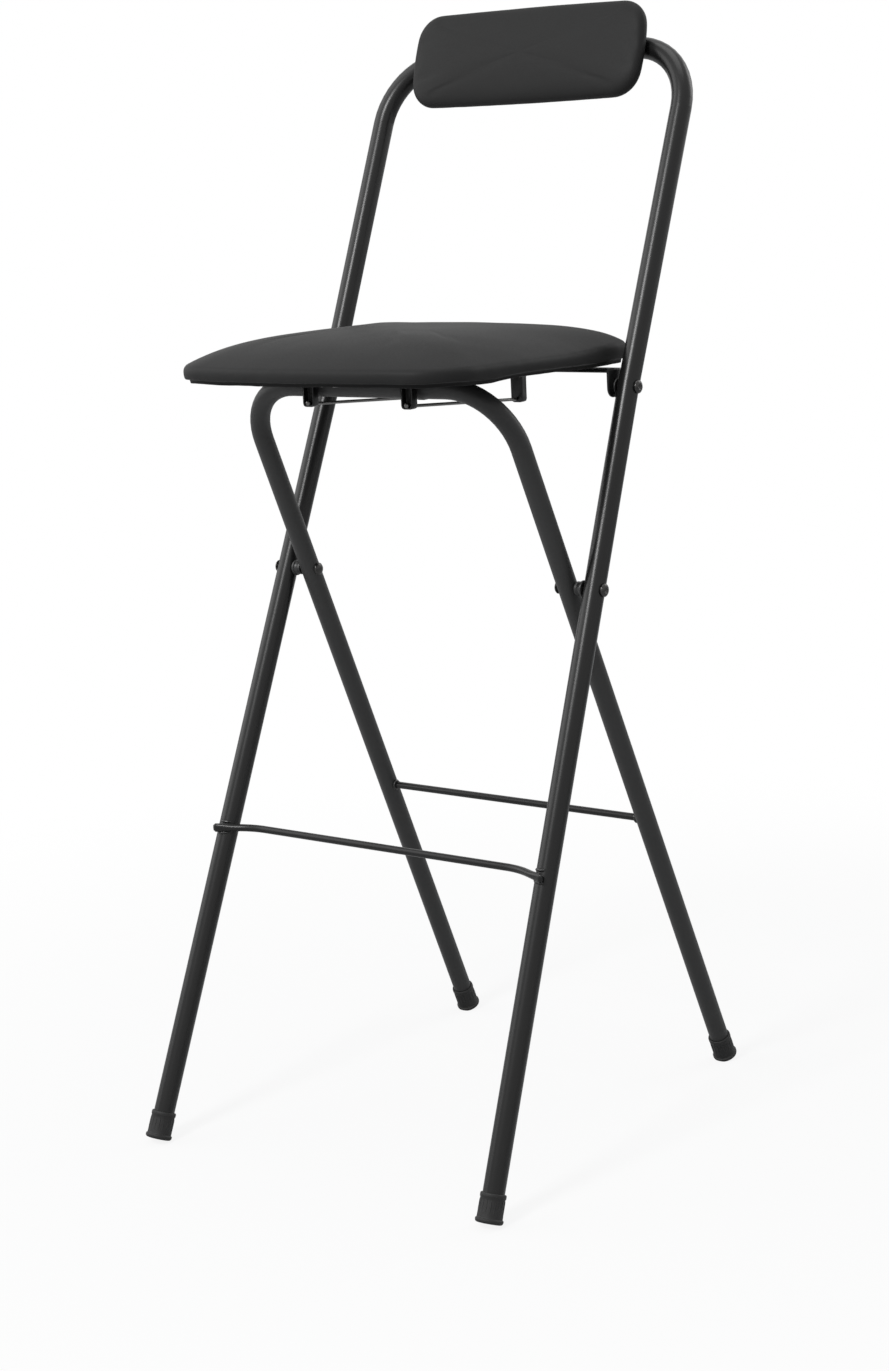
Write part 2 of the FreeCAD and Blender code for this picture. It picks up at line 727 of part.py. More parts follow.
def guide_post(name, side, front, bottom, flange_way, top):
    """A bent bracket: a hanging post with rounded lower corners and a flange under the board."""
    left = side * size("guide_half_gap") - post_wide / 2
    radius = size("post_corner_radius")
    body = doc.addObject("PartDesign::Body", name + "_bracket")
    sketch = new_sketch(body, name + "_front", "XZ_Plane")
    height = top - bottom
    inset = radius * (1 - math.sqrt(0.5))
    sketch.addGeometry([
        Part.LineSegment(vec(0, height, 0), vec(0, radius, 0)),
        Part.Arc(vec(0, radius, 0), vec(inset, inset, 0), vec(radius, 0, 0)),
        Part.LineSegment(vec(radius, 0, 0), vec(post_wide - radius, 0, 0)),
        Part.Arc(vec(post_wide - radius, 0, 0), vec(post_wide - inset, inset, 0),
                 vec(post_wide, radius, 0)),
        Part.LineSegment(vec(post_wide, radius, 0), vec(post_wide, height, 0)),
        Part.LineSegment(vec(post_wide, height, 0), vec(0, height, 0)),
    ], False)
    join_ends(sketch, True)
    doc.recompute()
    pad = body.newObject("PartDesign::Pad", name + "_pad")
    pad.Profile = sketch
    pad.setExpression("Length", cell("post_depth"))
    pad.Reversed = True
    doc.recompute()
    body.Placement = FreeCAD.Placement(vec(left, front, bottom), FreeCAD.Rotation())
    flange = doc.addObject("Part::Box", name + "_flange")
    bind(flange, Length=cell("post_width"), Height=cell("post_plate"))
    flange.Width = size("post_flange") + post_deep
    flange_y = front if flange_way > 0 else front - size("post_flange")
    flange.Placement = FreeCAD.Placement(vec(left, flange_y, top - plate), FreeCAD.Rotation())
    whole = doc.addObject("Part::Fuse", name + "_blank")
    whole.Base = body
    whole.Tool = flange
    pierced(name, whole, [
        guide_wire_bar(name + "_wire_drill", side, wire_r + size("running_gap"), 2 * post_deep)])


for side, word in ((-1, "left"), (1, "right")):
    front_bottom = front_wire_z - wire_r - size("post_below_wire")
    rear_bottom = rear_wire_z - wire_r - size("post_below_wire")
    guide_post("front_guide_post_" + word, side, front_post_face - post_deep,
               front_bottom, -1, flange_top)
    guide_post("rear_guide_post_" + word, side, rear_post_face,
               rear_bottom, 1, strip_under - fit)
    wire = guide_wire_bar("guide_wire_bar_" + word, side, wire_r, 2)
    bind(wire, Radius=cell("wire_dia") + " / 2")
    node("guide_wire_" + word, wire)

node("seat_board", solid_feature(
    "seat_board", extruded(seat_outline(board_inset, board_bottom), board_thick), seat_place))

# Hinge strip: a flat bar raised in the middle, with an ear turned down at each end
low_top = board_bottom - size("strip_drop")
thick = size("strip_thick")
raised = size("strip_raised_half")
stepped = raised + size("strip_step_run")
ear_bottom = seat_pivot.z - size("ear_below_pivot")
upper_edge = [
    (-ear_outer, ear_bottom), (-ear_outer, low_top), (-stepped, low_top), (-raised, strip_top),
    (raised, strip_top), (stepped, low_top), (ear_outer, low_top), (ear_outer, ear_bottom),
]
lower_edge = [
    (ear_inner, ear_bottom), (ear_inner, low_top - thick), (stepped, low_top - thick),
    (raised, strip_top - thick), (-raised, strip_top - thick), (-stepped, low_top - thick),
    (-ear_inner, low_top - thick), (-ear_inner, ear_bottom),
]
strip_body = doc.addObject("PartDesign::Body", "hinge_strip_bar")
strip_sketch = new_sketch(strip_body, "hinge_strip_side", "XZ_Plane")
strip_points = [vec(x, z - seat_pivot.z, 0) for x, z in upper_edge + lower_edge]
for index, point in enumerate(strip_points):
    strip_sketch.addGeometry(
        Part.LineSegment(point, strip_points[(index + 1) % len(strip_points)]), False)
join_ends(strip_sketch, True)
doc.recompute()
strip_pad = strip_body.newObject("PartDesign::Pad", "hinge_strip_pad")
strip_pad.Profile = strip_sketch
strip_pad.setExpression("Length", cell("strip_width"))
strip_pad.Midplane = True
doc.recompute()
strip_body.Placement = FreeCAD.Placement(vec(0, seat_pivot.y, seat_pivot.z), FreeCAD.Rotation())


def ear_trim(name, way):
    """Cutter that rounds one lower corner of both ears."""
    radius = size("ear_corner_radius")
    edge_y = seat_pivot.y + way * size("strip_width") / 2
    block = doc.addObject("Part::Box", name + "_block")
    block.Length = hole_length
    block.Width = radius + 1
    block.Height = radius + 1
    low_y = edge_y - radius if way > 0 else edge_y - 1
    block.Placement = FreeCAD.Placement(
        vec(-hole_length / 2, low_y, ear_bottom - 1), FreeCAD.Rotation())
    round_bar = doc.addObject("Part::Cylinder", name + "_round")
    round_bar.Radius = radius
    round_bar.Height = hole_length + 2
    round_bar.Placement = FreeCAD.Placement(
        vec(-hole_length / 2 - 1, edge_y - way * radius, ear_bottom + radius), rotation(y_axis, 90))
    trim = doc.addObject("Part::Cut", name)
    trim.Base = block
    trim.Tool = round_bar
    return trim


ear_drill = cross_hole("ear_drill", rivet_fit, hole_length, seat_pivot)
pierced("seat_hinge_strip", strip_body,
        [ear_drill, ear_trim("ear_trim_front", -1), ear_trim("ear_trim_back", 1)])


# Backrest board and its padded cover, drawn flat and then leaned onto the top tube
def pad_outline(inset, height):
    half_height = size("back_pad_half_height")
    bow = size("back_pad_bow")
    return bowed_outline(
        size("back_pad_half_width"), -half_height, half_height, 0, bow, bow, bow,
        size("back_pad_corner"), size("back_pad_corner"), inset, height)


back_board_thick = size("back_board_thick")
pad_solid = padded(pad_rings, pad_outline)
pad_pocket = extruded(pad_outline(size("back_board_inset") - fit, -pad_roll),
                      pad_roll + back_board_thick + 2 * fit)
node("backrest_cushion", solid_feature("backrest_cushion", pad_solid.cut(pad_pocket), pad_place))
node("backrest_board", solid_feature(
    "backrest_board", extruded(pad_outline(size("back_board_inset"), fit), back_board_thick),
    pad_place))

doc.recompute()

# Check every object, then write each piece
for item in doc.Objects:
    faults = [state for state in item.State if state in ("Invalid", "Error")]
    if faults:
        raise RuntimeError("%s is %s" % (item.Name, faults))
for name, item in node_objects.items():
    shape = item.Shape
    if shape.isNull() or not shape.isValid():
        raise RuntimeError(name + " has no valid shape")
    wanted = 2 if item.TypeId == "Part::Compound" else 1
    if len(shape.Solids) != wanted:
        raise RuntimeError("%s has %d solids" % (name, len(shape.Solids)))
whole = Part.makeCompound([item.Shape for item in node_objects.values()])
box = whole.optimalBoundingBox(False)
print("pieces", len(node_objects), "box %.2f %.2f %.2f to %.2f %.2f %.2f" % (
    box.XMin, box.YMin, box.ZMin, box.XMax, box.YMax, box.ZMax))
print("seat shoulder %.2f, board bottom %.2f" % (shoulder, board_bottom))
for name, item in node_objects.items():
    item.Shape.exportStep("parts/" + name + ".step")
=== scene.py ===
import math

import bmesh
import bpy
from mathutils import Matrix, Vector, noise


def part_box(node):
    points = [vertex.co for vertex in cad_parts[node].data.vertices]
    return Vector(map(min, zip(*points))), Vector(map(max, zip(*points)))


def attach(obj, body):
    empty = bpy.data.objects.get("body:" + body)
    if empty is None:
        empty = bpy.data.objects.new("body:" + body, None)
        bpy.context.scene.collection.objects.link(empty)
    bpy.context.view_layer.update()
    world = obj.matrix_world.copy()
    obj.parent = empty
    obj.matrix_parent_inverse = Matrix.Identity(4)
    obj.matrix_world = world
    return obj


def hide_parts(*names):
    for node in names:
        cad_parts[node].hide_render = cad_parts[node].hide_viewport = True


# Folding bar stool. Metres, +Z up, the sitter's side at -Y, floor at 0.

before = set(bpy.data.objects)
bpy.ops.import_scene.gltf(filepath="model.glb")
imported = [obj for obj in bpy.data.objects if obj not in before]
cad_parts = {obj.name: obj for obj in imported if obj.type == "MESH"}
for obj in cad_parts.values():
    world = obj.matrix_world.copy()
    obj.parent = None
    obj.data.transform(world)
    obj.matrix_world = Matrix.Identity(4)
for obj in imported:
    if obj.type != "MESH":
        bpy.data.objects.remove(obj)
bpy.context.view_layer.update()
mm = 0.001
print("frame loaded", len(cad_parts), "nodes")

stool = {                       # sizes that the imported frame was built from, in mm and degrees
    "crossing": (0.0, -0.5, 526.4),
    "backLean": 23.642192, "legLean": 23.770320,
    "backSplay": 1.579010, "legSplay": 1.008613,
    "backFootReach": -570.711, "legFootReach": -571.469,
    "backHalfAtCrossing": 181.568, "legHalfAtCrossing": 152.639,
    "backRadius": 10.0, "legRadius": 9.5,
    "seatContact": (0.0, -83.815, 725.365), "seatTilt": 1.35,
    "padFoot": (0.0, 197.60, 1002.57), "padLean": 18.0, "topTube": (0.0, 209.23, 1005.52),
}


def boxCentre(name):
    low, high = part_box(name)
    return (low + high) / 2


seatPivot = boxCentre("seat_pivot_rivets")


class Number:                   # one number socket; sums on it add Math nodes
    def __init__(self, shader, socket):
        self.shader = shader
        self.socket = socket

    def sum(self, operation, first, second):
        return self.shader.add("ShaderNodeMath", {"operation": operation}, {0: first, 1: second})

    def __add__(self, other):
        return self.sum("ADD", self, other)

    def __radd__(self, other):
        return self.sum("ADD", other, self)

    def __sub__(self, other):
        return self.sum("SUBTRACT", self, other)

    def __rsub__(self, other):
        return self.sum("SUBTRACT", other, self)

    def __mul__(self, other):
        return self.sum("MULTIPLY", self, other)

    def __rmul__(self, other):
        return self.sum("MULTIPLY", other, self)

    def clamped(self):
        return self.shader.add("ShaderNodeClamp", {}, {"Value": self})


class Shader:                   # builds one material
    def __init__(self, name):
        self.material = bpy.data.materials.new(name)
        self.material.use_nodes = True
        self.tree = self.material.node_tree
        self.tree.nodes.clear()
        self.output = self.tree.nodes.new("ShaderNodeOutputMaterial")
        self.place = self.add("ShaderNodeTexCoord", {}, {}, "Object")

    def feed(self, socket, value):
        if isinstance(value, Number):
            value = value.socket
        if isinstance(value, bpy.types.NodeSocket):
            self.tree.links.new(value, socket)
        elif value is not None:
            socket.default_value = value

    def add(self, kind, settings, values, out=0):
        node = self.tree.nodes.new(kind)
        for key, value in settings.items():
            setattr(node, key, value)
        for key, value in values.items():
            self.feed(node.inputs[key], value)
        if out is None:
            return node
        found = node.outputs[out]
        return Number(self, found) if found.type == "VALUE" else found

    def noiseAt(self, scale, detail=3.0, roughness=0.5, place=None):
        return self.add("ShaderNodeTexNoise", {"noise_dimensions": "3D"}, {
            "Vector": place or self.place, "Scale": scale, "Detail": detail,
            "Roughness": roughness}, "Fac")

    def cells(self, scale, feature="F1", place=None):
        return self.add("ShaderNodeTexVoronoi", {"feature": feature}, {
            "Vector": place or self.place, "Scale": scale}, "Distance")

    def stretched(self, scale):
        return self.add("ShaderNodeMapping", {}, {
            "Vector": self.place, "Scale": scale}, "Vector")

    def ramp(self, value, stops):
        return self.add("ShaderNodeMapRange", {"interpolation_type": "SMOOTHSTEP"}, {
            "Value": value, "From Min": stops[0], "From Max": stops[1],
            "To Min": 0.0, "To Max": 1.0})

    def mixed(self, factor, first, second):
        node = self.add("ShaderNodeMix", {"data_type": "RGBA"}, {}, None)
        self.feed(node.inputs[0], factor)
        self.feed(node.inputs[6], first)
        self.feed(node.inputs[7], second)
        return node.outputs[2]

    def axis(self, letter):
        return self.add("ShaderNodeSeparateXYZ", {}, {"Vector": self.place}, letter)

    def bump(self, height, strength, distance, under=None):
        values = {"Height": height, "Strength": strength, "Distance": distance}
        if under is not None:
            values["Normal"] = under
        return self.add("ShaderNodeBump", {}, values, "Normal")

    def finish(self, **values):
        surface = self.add("ShaderNodeBsdfPrincipled", {}, {}, None)
        for key, value in values.items():
            self.feed(surface.inputs[key.replace("_", " ")], value)
        self.tree.links.new(surface.outputs[0], self.output.inputs["Surface"])
        return self.material


def grey(level, warm=0.0):
    return (level * (1 + warm), level, level * (1 - warm), 1.0)


paintLook = {"colour": 0.007, "rough": 0.30, "peelScale": 1150.0, "peelDepth": 0.00003,
             "wear": 0.022, "gloss": 0.27}
legLook = {"colour": 0.027, "rough": 0.46, "peelScale": 1000.0, "peelDepth": 0.00003,
           "wear": 0.025, "gloss": 0.26}


def powderCoat(name, look):
    s = Shader(name)
    peel = s.noiseAt(look["peelScale"], 2.0)
    cloud = s.noiseAt(9.0, 4.0)
    speck = s.ramp(s.noiseAt(260.0, 3.0, 0.7), (0.70, 0.80))
    scuff = s.ramp(s.noiseAt(46.0, 6.0, 0.75, s.stretched((1.0, 1.0, 0.35))), (0.66, 0.76))
    fade = s.ramp(s.axis("Z"), (0.55, 0.0))            # feet and footrest are rubbed most
    rubbed = (scuff * (fade * 0.7 + 0.12)).clamped()
    level = s.mixed(cloud, grey(look["colour"] * 0.86), grey(look["colour"] * 1.14))
    level = s.mixed(rubbed * 0.35 + speck * 0.05, level, grey(look["colour"] + look["wear"]))
    rough = look["rough"] + cloud * 0.08 + rubbed * 0.2 + speck * 0.05 - 0.04
    return s.finish(Base_Color=level, Roughness=rough, Normal=s.bump(
        peel, 0.25, look["peelDepth"]), Specular_IOR_Level=look["gloss"])


vinylLook = {"colour": 0.016, "rough": 0.54, "grainScale": 900.0, "grainDepth": 0.00009}


def vinyl(name, look):
    s = Shader(name)
    warp = s.add("ShaderNodeTexNoise", {}, {"Vector": s.place, "Scale": 240.0, "Detail": 2.0},
                 "Color")
    bent = s.add("ShaderNodeVectorMath", {"operation": "SCALE"}, {0: warp, "Scale": 0.0011},
                 "Vector")
    place = s.add("ShaderNodeVectorMath", {"operation": "ADD"}, {0: s.place, 1: bent}, "Vector")
    pebble = s.cells(look["grainScale"], "F1", place)
    fine = s.noiseAt(look["grainScale"] * 2.2, 2.0)
    crease = s.cells(130.0, "DISTANCE_TO_EDGE", place)
    cloud = s.noiseAt(13.0, 4.0, 0.55)
    wide = s.noiseAt(5.0, 2.0)
    height = pebble * 0.75 + fine * 0.25 + s.ramp(crease, (0.0, 0.09)) * 0.22
    pores = s.ramp(pebble, (0.62, 0.20))
    level = s.mixed(cloud * 0.6 + wide * 0.4, grey(look["colour"] * 0.88),
                    grey(look["colour"] * 1.13))
    level = s.mixed(pores * 0.18, level, grey(look["colour"] * 0.55))
    rough = look["rough"] + cloud * 0.09 + pores * 0.05 - 0.05
    return s.finish(Base_Color=level, Roughness=rough, Normal=s.bump(
        height, 0.20, look["grainDepth"]), Specular_IOR_Level=0.10)


rubberLook = {"colour": 0.011, "rough": 0.52}


def rubber(name, look):
    s = Shader(name)
    grain = s.noiseAt(1500.0, 2.0)
    cloud = s.noiseAt(60.0, 4.0, 0.6)
    low = s.ramp(s.axis("Z") + s.noiseAt(240.0, 3.0) * 0.004, (0.0085, 0.0015))
    level = s.mixed(cloud, grey(look["colour"] * 0.8), grey(look["colour"] * 1.25))
    level = s.mixed(low * 0.45, level, grey(0.045, 0.03))       # floor dust at the rim
    return s.finish(Base_Color=level, Roughness=look["rough"] + cloud * 0.12 + low * 0.2,
                    Normal=s.bump(grain, 0.25, 0.00006), Specular_IOR_Level=0.32)


def plastic(name, level):
    s = Shader(name)
    fine = s.noiseAt(1800.0, 2.0)
    cloud = s.noiseAt(70.0, 3.0)
    return s.finish(Base_Color=s.mixed(cloud, grey(level * 0.85), grey(level * 1.2)),
                    Roughness=0.36 + cloud * 0.12, Normal=s.bump(fine, 0.15, 0.00003))


def steel(name, level, rough, stretch=(1.0, 1.0, 1.0)):
    s = Shader(name)
    brushed = s.noiseAt(900.0, 3.0, 0.6, s.stretched(stretch))
    cloud = s.noiseAt(120.0, 3.0)
    stain = s.ramp(s.noiseAt(210.0, 4.0, 0.7), (0.55, 0.72))
    tone = s.mixed(cloud, grey(level * 0.8, 0.02), grey(level * 1.15, 0.01))
    tone = s.mixed(stain * 0.4, tone, grey(level * 0.45, 0.03))
    return s.finish(Base_Color=tone, Metallic=1.0, Roughness=rough + brushed * 0.12 + stain * 0.15,
                    Normal=s.bump(brushed, 0.18, 0.00004))


def blackBoard(name):
    s = Shader(name)
    fibre = s.noiseAt(420.0, 4.0, 0.7, s.stretched((0.25, 1.0, 1.0)))
    chips = s.cells(260.0)
    cloud = s.noiseAt(14.0, 3.0)
    level = s.mixed(fibre * 0.6 + chips * 0.4, grey(0.006), grey(0.018, 0.04))
    level = s.mixed(cloud * 0.3, level, grey(0.015, 0.05))
    return s.finish(Base_Color=level, Roughness=0.72 + fibre * 0.16 - cloud * 0.05,
                    Normal=s.bump(fibre * 0.6 + chips * 0.4, 0.45, 0.00025))


def burnt(name, look):          # paint over a weld: lumpier and glossier than on the tube
    s = Shader(name)
    lump = s.noiseAt(520.0, 3.0, 0.6)
    level = s.mixed(lump, grey(look["colour"] * 0.7), grey(look["colour"] * 1.3))
    return s.finish(Base_Color=level, Roughness=0.24 + lump * 0.16,
                    Normal=s.bump(lump, 0.5, 0.00025))


bracketLook = {"colour": 0.010, "rough": 0.30, "peelScale": 1300.0, "peelDepth": 0.00003,
               "wear": 0.02, "gloss": 0.3}
# a darker copy of the vinyl look for the turned-under edge: painted shade below the roll
shadedHemLook = {"colour": 0.008, "rough": 0.6, "grainScale": 900.0, "grainDepth": 0.00005}
steelLook = {"rivet": (0.055, 0.22), "staple": (0.55, 0.28), "screw": (0.42, 0.26),
             "wire": (0.13, 0.26)}              # level and roughness

framePaint = powderCoat("framePaint", paintLook)
legPaint = powderCoat("legPaint", legLook)          # the rear frame is a flatter black
bracketPaint = powderCoat("bracketPaint", bracketLook)
weldPaint = burnt("weldPaint", paintLook)
seatVinyl = vinyl("seatVinyl", vinylLook)
# painted shade: the same vinyl, darker, for the hem faces under the roll
shadedHemVinyl = vinyl("shadedHemVinyl", shadedHemLook)
capRubber = rubber("capRubber", rubberLook)
bushPlastic = plastic("bushPlastic", 0.014)
rivetSteel = steel("rivetSteel", *steelLook["rivet"])
stapleSteel = steel("stapleSteel", *steelLook["staple"])
screwSteel = steel("screwSteel", *steelLook["screw"])
wireSteel = steel("wireSteel", *steelLook["wire"], (1.0, 0.15, 1.0))
undersideBoard = blackBoard("undersideBoard")
print("finishes made")


def linked(name, data):
    piece = bpy.data.objects.new(name, data)
    bpy.context.scene.collection.objects.link(piece)
    return piece


def smoothed(piece):
    for face in piece.data.polygons:
        face.use_smooth = True


def makePiece(name, points, faces, material, smooth=True):
    mesh = bpy.data.meshes.new(name)
    mesh.from_pydata([tuple(p) for p in points], [], faces)
    mesh.validate()
    shape = bmesh.new()
    shape.from_mesh(mesh)
    bmesh.ops.remove_doubles(shape, verts=shape.verts, dist=0.000004)
    bmesh.ops.recalc_face_normals(shape, faces=shape.faces)
    shape.to_mesh(mesh)
    shape.free()
    for face in mesh.polygons:
        face.use_smooth = smooth
    mesh.materials.append(material)
    return linked(name, mesh)


def joined(name, pieces):
    shape = bmesh.new()
    materials = []
    for piece in pieces:
        start = len(shape.faces)
        shape.from_mesh(piece.data)
        shape.faces.ensure_lookup_table()
        for face in shape.faces[start:]:
            wanted = piece.data.materials[face.material_index]
            if wanted not in materials:
                materials.append(wanted)
            face.material_index = materials.index(wanted)
    mesh = bpy.data.meshes.new(name)
    shape.to_mesh(mesh)
    shape.free()
    for material in materials:
        mesh.materials.append(material)
    for piece in pieces:
        bpy.data.objects.remove(piece)
    return linked(name, mesh)


def applied(piece):
    bpy.context.view_layer.update()
    depsgraph = bpy.context.evaluated_depsgraph_get()
    mesh = bpy.data.meshes.new_from_object(piece.evaluated_get(depsgraph))
    piece.modifiers.clear()
    piece.data = mesh
    return piece


def rounded(corners, radius, steps):        # eases each inner corner of an open line
    line = [Vector(corners[0])]
    for before, corner, after in zip(corners, corners[1:], corners[2:]):
        b, c, a = Vector(before), Vector(corner), Vector(after)
        reach = min(radius, (b - c).length * 0.45, (a - c).length * 0.45)
        first, last = c + (b - c).normalized() * reach, c + (a - c).normalized() * reach
        for step in range(steps + 1):
            t = step / steps
            line.append(first * (1 - t) ** 2 + c * 2 * t * (1 - t) + last * t * t)
    line.append(Vector(corners[-1]))
    return line


def lathe(name, profile, place, material, around):        # profile: (along local Z, radius), mm
    points, faces, rings = [], [], []
    for along, radius in profile:
        if radius < 0.0001:
            rings.append([len(points)])
            points.append(place @ Vector((0, 0, along * mm)))
            continue
        ring = []
        for step in range(around):
            turn = 2 * math.pi * step / around
            ring.append(len(points))
            points.append(place @ Vector((math.cos(turn) * radius * mm,
                                          math.sin(turn) * radius * mm, along * mm)))
        rings.append(ring)
    for low, high in zip(rings, rings[1:]):
        for step in range(around):
            after = (step + 1) % around
            if len(low) == 1 and len(high) > 1:
                faces.append((low[0], high[step], high[after]))
            elif len(high) == 1 and len(low) > 1:
                faces.append((low[step], low[after], high[0]))
            elif len(low) > 1:
                faces.append((low[step], low[after], high[after], high[step]))
    return makePiece(name, points, faces, material)


# section(share) gives half the width and half the height
def sweep(name, path, section, material, around):
    points, faces = [], []
    count = len(path)
    side = Vector((0, 0, 1))
    for index, spot in enumerate(path):
        ahead = path[min(index + 1, count - 1)] - path[max(index - 1, 0)]
        ahead.normalize()
        up = (side - ahead * side.dot(ahead)).normalized()
        wide = ahead.cross(up)
        across, tall = section(index / (count - 1))
        for step in range(around):
            turn = 2 * math.pi * step / around
            points.append(spot + wide * math.cos(turn) * across + up * math.sin(turn) * tall)
    for index in range(count - 1):
        for step in range(around):
            after = (step + 1) % around
            faces.append((index * around + step, index * around + after,
                          (index + 1) * around + after, (index + 1) * around + step))
    for index, order in ((0, -1), (count - 1, 1)):
        middle = len(points)
        points.append(path[index].copy())
        for step in range(around):
            pair = (index * around + step, index * around + (step + 1) % around)
            faces.append((pair[0], pair[1], middle)[::order])
    return makePiece(name, points, faces, material)


# a leg's own axis as local Z, at a reach from the crossing
def framePlace(which, side, reach):
    lean, splay, half0 = {
        "back": (-stool["backLean"], stool["backSplay"], stool["backHalfAtCrossing"]),
        "leg": (stool["legLean"], stool["legSplay"], stool["legHalfAtCrossing"])}[which]
    half = half0 - reach * math.tan(math.radians(splay))
    return (Matrix.Translation(Vector(stool["crossing"]) * mm)
            @ Matrix.Rotation(math.radians(lean), 4, "X")
            @ Matrix.Translation(Vector((side * half, 0, reach)) * mm)
            @ Matrix.Rotation(math.radians(-side * splay), 4, "Y"))


def alongX(centre, side):       # local Z points outwards along X
    return Matrix.Translation(centre) @ Matrix.Rotation(math.radians(90 * side), 4, "Y")


class Pattern:                  # one node tree that repeats something, kept as a plain mesh
    def __init__(self, name, inputs):
        self.tree = bpy.data.node_groups.new(name, "GeometryNodeTree")
        self.tree.is_modifier = True
        panel = self.tree.interface
        for way in ("INPUT", "OUTPUT"):
            panel.new_socket("Geometry", in_out=way, socket_type="NodeSocketGeometry")
        self.sockets = []
        for key, (kind, value) in inputs.items():
            socket = panel.new_socket(key, in_out="INPUT", socket_type=kind)
            self.sockets.append((socket.identifier, value))
        self.entry = self.tree.nodes.new("NodeGroupInput")
        self.exit = self.tree.nodes.new("NodeGroupOutput")

    def put(self, kind, values=None, **settings):
        node = self.tree.nodes.new(kind)
        for key, value in settings.items():
            setattr(node, key, value)
        for key, value in (values or {}).items():
            if isinstance(value, bpy.types.NodeSocket):
                self.tree.links.new(value, node.inputs[key])
            else:
                node.inputs[key].default_value = value
        return node

    def given(self, name):
        return self.entry.outputs[name]

    def maths(self, operation, first, second):
        return self.put("ShaderNodeMath", {0: first, 1: second}, operation=operation).outputs[0]

    def build(self, name, geometry, material, mesh):
        real = self.put("GeometryNodeRealizeInstances", {"Geometry": geometry})
        painted = self.put("GeometryNodeSetMaterial", {"Geometry": real.outputs[0]})
        painted.inputs["Material"].default_value = material
        smooth = self.put("GeometryNodeSetShadeSmooth", {"Geometry": painted.outputs[0]})
        self.tree.links.new(smooth.outputs[0], self.exit.inputs[0])
        piece = linked(name, mesh)
        modifier = piece.modifiers.new(name, "NODES")
        modifier.node_group = self.tree
        for identifier, value in self.sockets:
            modifier[identifier] = value
        return applied(piece)


view = {"azimuth": 37.576, "elevation": 12.087, "roll": -3.117, "aimHeight": 0.525,
        "distance": 2.4513, "right": 0.009004, "up": -0.100845, "lens": 68.0136, "film": 36.0}


def makeCamera(v):
    az, el, roll = (math.radians(v[k]) for k in ("azimuth", "elevation", "roll"))
    back = Vector((math.sin(az) * math.cos(el), -math.cos(az) * math.cos(el), math.sin(el)))
    flatRight = Vector((math.cos(az), math.sin(az), 0))
    flatUp = back.cross(flatRight)
    right = flatRight * math.cos(roll) + flatUp * math.sin(roll)
    up = flatUp * math.cos(roll) - flatRight * math.sin(roll)
    data = bpy.data.cameras.new("camera")
    data.lens = v["lens"]
    data.sensor_width = v["film"]
    data.clip_end = 50
    camera = linked("camera", data)
    spot = Vector((0, 0, v["aimHeight"])) + back * v["distance"] + right * v["right"] + up * v["up"]
    turn = Matrix((right, up, back)).transposed().to_4x4()
    camera.matrix_world = Matrix.Translation(spot) @ turn
    bpy.context.scene.camera = camera


makeCamera(view)

lamps = {                       # place, aim, size across and up, watts
    "keyLamp": ((-0.1, -2.5, 2.65), (0, 0, 0.8), 0.65, 0.8, 72),
    "sideLamp": ((-2.5, -1.3, 1.9), (0, 0, 0.7), 2.6, 2.6, 40),
    "rearLamp": ((1.2, 2.6, 2.0), (0, 0, 0.7), 1.2, 1.6, 16),
    "topLamp": ((0.2, 0.2, 3.2), (0, 0, 0.7), 1.6, 1.6, 20),
}


def makeLamp(name, place, aim, wide, tall, watts):
    data = bpy.data.lights.new(name, "AREA")
    data.shape = "RECTANGLE"
    data.size = wide
    data.size_y = tall
    data.energy = watts
    lamp = linked(name, data)
    lamp.location = place
    lamp.rotation_euler = (Vector(aim) - Vector(place)).to_track_quat("-Z", "Y").to_euler()


for lampName, lampValues in lamps.items():
    makeLamp(lampName, *lampValues)


room = {"ambient": 0.45, "floorHalf": 9.0, "floorLevel": 0.62}


def makeWorld(ambient):
    world = bpy.data.worlds.new("studio")
    world.use_nodes = True
    nodes, links = world.node_tree.nodes, world.node_tree.links
    nodes.clear()
    out = nodes.new("ShaderNodeOutputWorld")
    lit, seen = nodes.new("ShaderNodeBackground"), nodes.new("ShaderNodeBackground")
    lit.inputs["Color"].default_value = (0.96, 0.98, 1.0, 1)
    lit.inputs["Strength"].default_value = ambient
    seen.inputs["Strength"].default_value = 1.0
    seen.inputs["Color"].default_value = (1, 1, 1, 1)
    path = nodes.new("ShaderNodeLightPath")
    white = path.outputs["Is Camera Ray"]       # metal and glass see the white too
    for ray in ("Is Glossy Ray", "Is Transmission Ray"):
        most = nodes.new("ShaderNodeMath")
        most.operation = "MAXIMUM"
        links.new(white, most.inputs[0])
        links.new(path.outputs[ray], most.inputs[1])
        white = most.outputs[0]
    mix = nodes.new("ShaderNodeMixShader")
    links.new(white, mix.inputs[0])
    links.new(lit.outputs[0], mix.inputs[1])
    links.new(seen.outputs[0], mix.inputs[2])
    links.new(mix.outputs[0], out.inputs[0])
    bpy.context.scene.world = world


makeWorld(room["ambient"])
bpy.context.scene.view_settings.view_transform = "Standard"


def makeFloor(half, level):
    s = Shader("paleFloor")
    cloud = s.noiseAt(3.0, 2.0)
    diffuse = s.add("ShaderNodeBsdfDiffuse", {}, {
        "Color": s.mixed(cloud, grey(level * 0.99), grey(level)), "Roughness": 0.4}, 0)
    glow = s.add("ShaderNodeEmission", {}, {"Color": (1, 1, 1, 1), "Strength": 1.0}, 0)
    away = s.add("ShaderNodeVectorMath", {"operation": "LENGTH"}, {0: s.place}, "Value")
    seen = s.add("ShaderNodeLightPath", {}, {}, "Is Camera Ray")
    seen = seen * (s.ramp(away, (0.35, 1.4)) * 0.12 + 0.88)     # a faint shadow near the feet
    mix = s.add("ShaderNodeMixShader", {}, {0: seen, 1: diffuse, 2: glow}, 0)
    s.tree.links.new(mix, s.output.inputs["Surface"])
    points = [(x * half, y * half, 0) for x, y in ((-1, -1), (1, -1), (1, 1), (-1, 1))]
    floor = makePiece("floor", points, [(0, 1, 2, 3)], s.material, False)


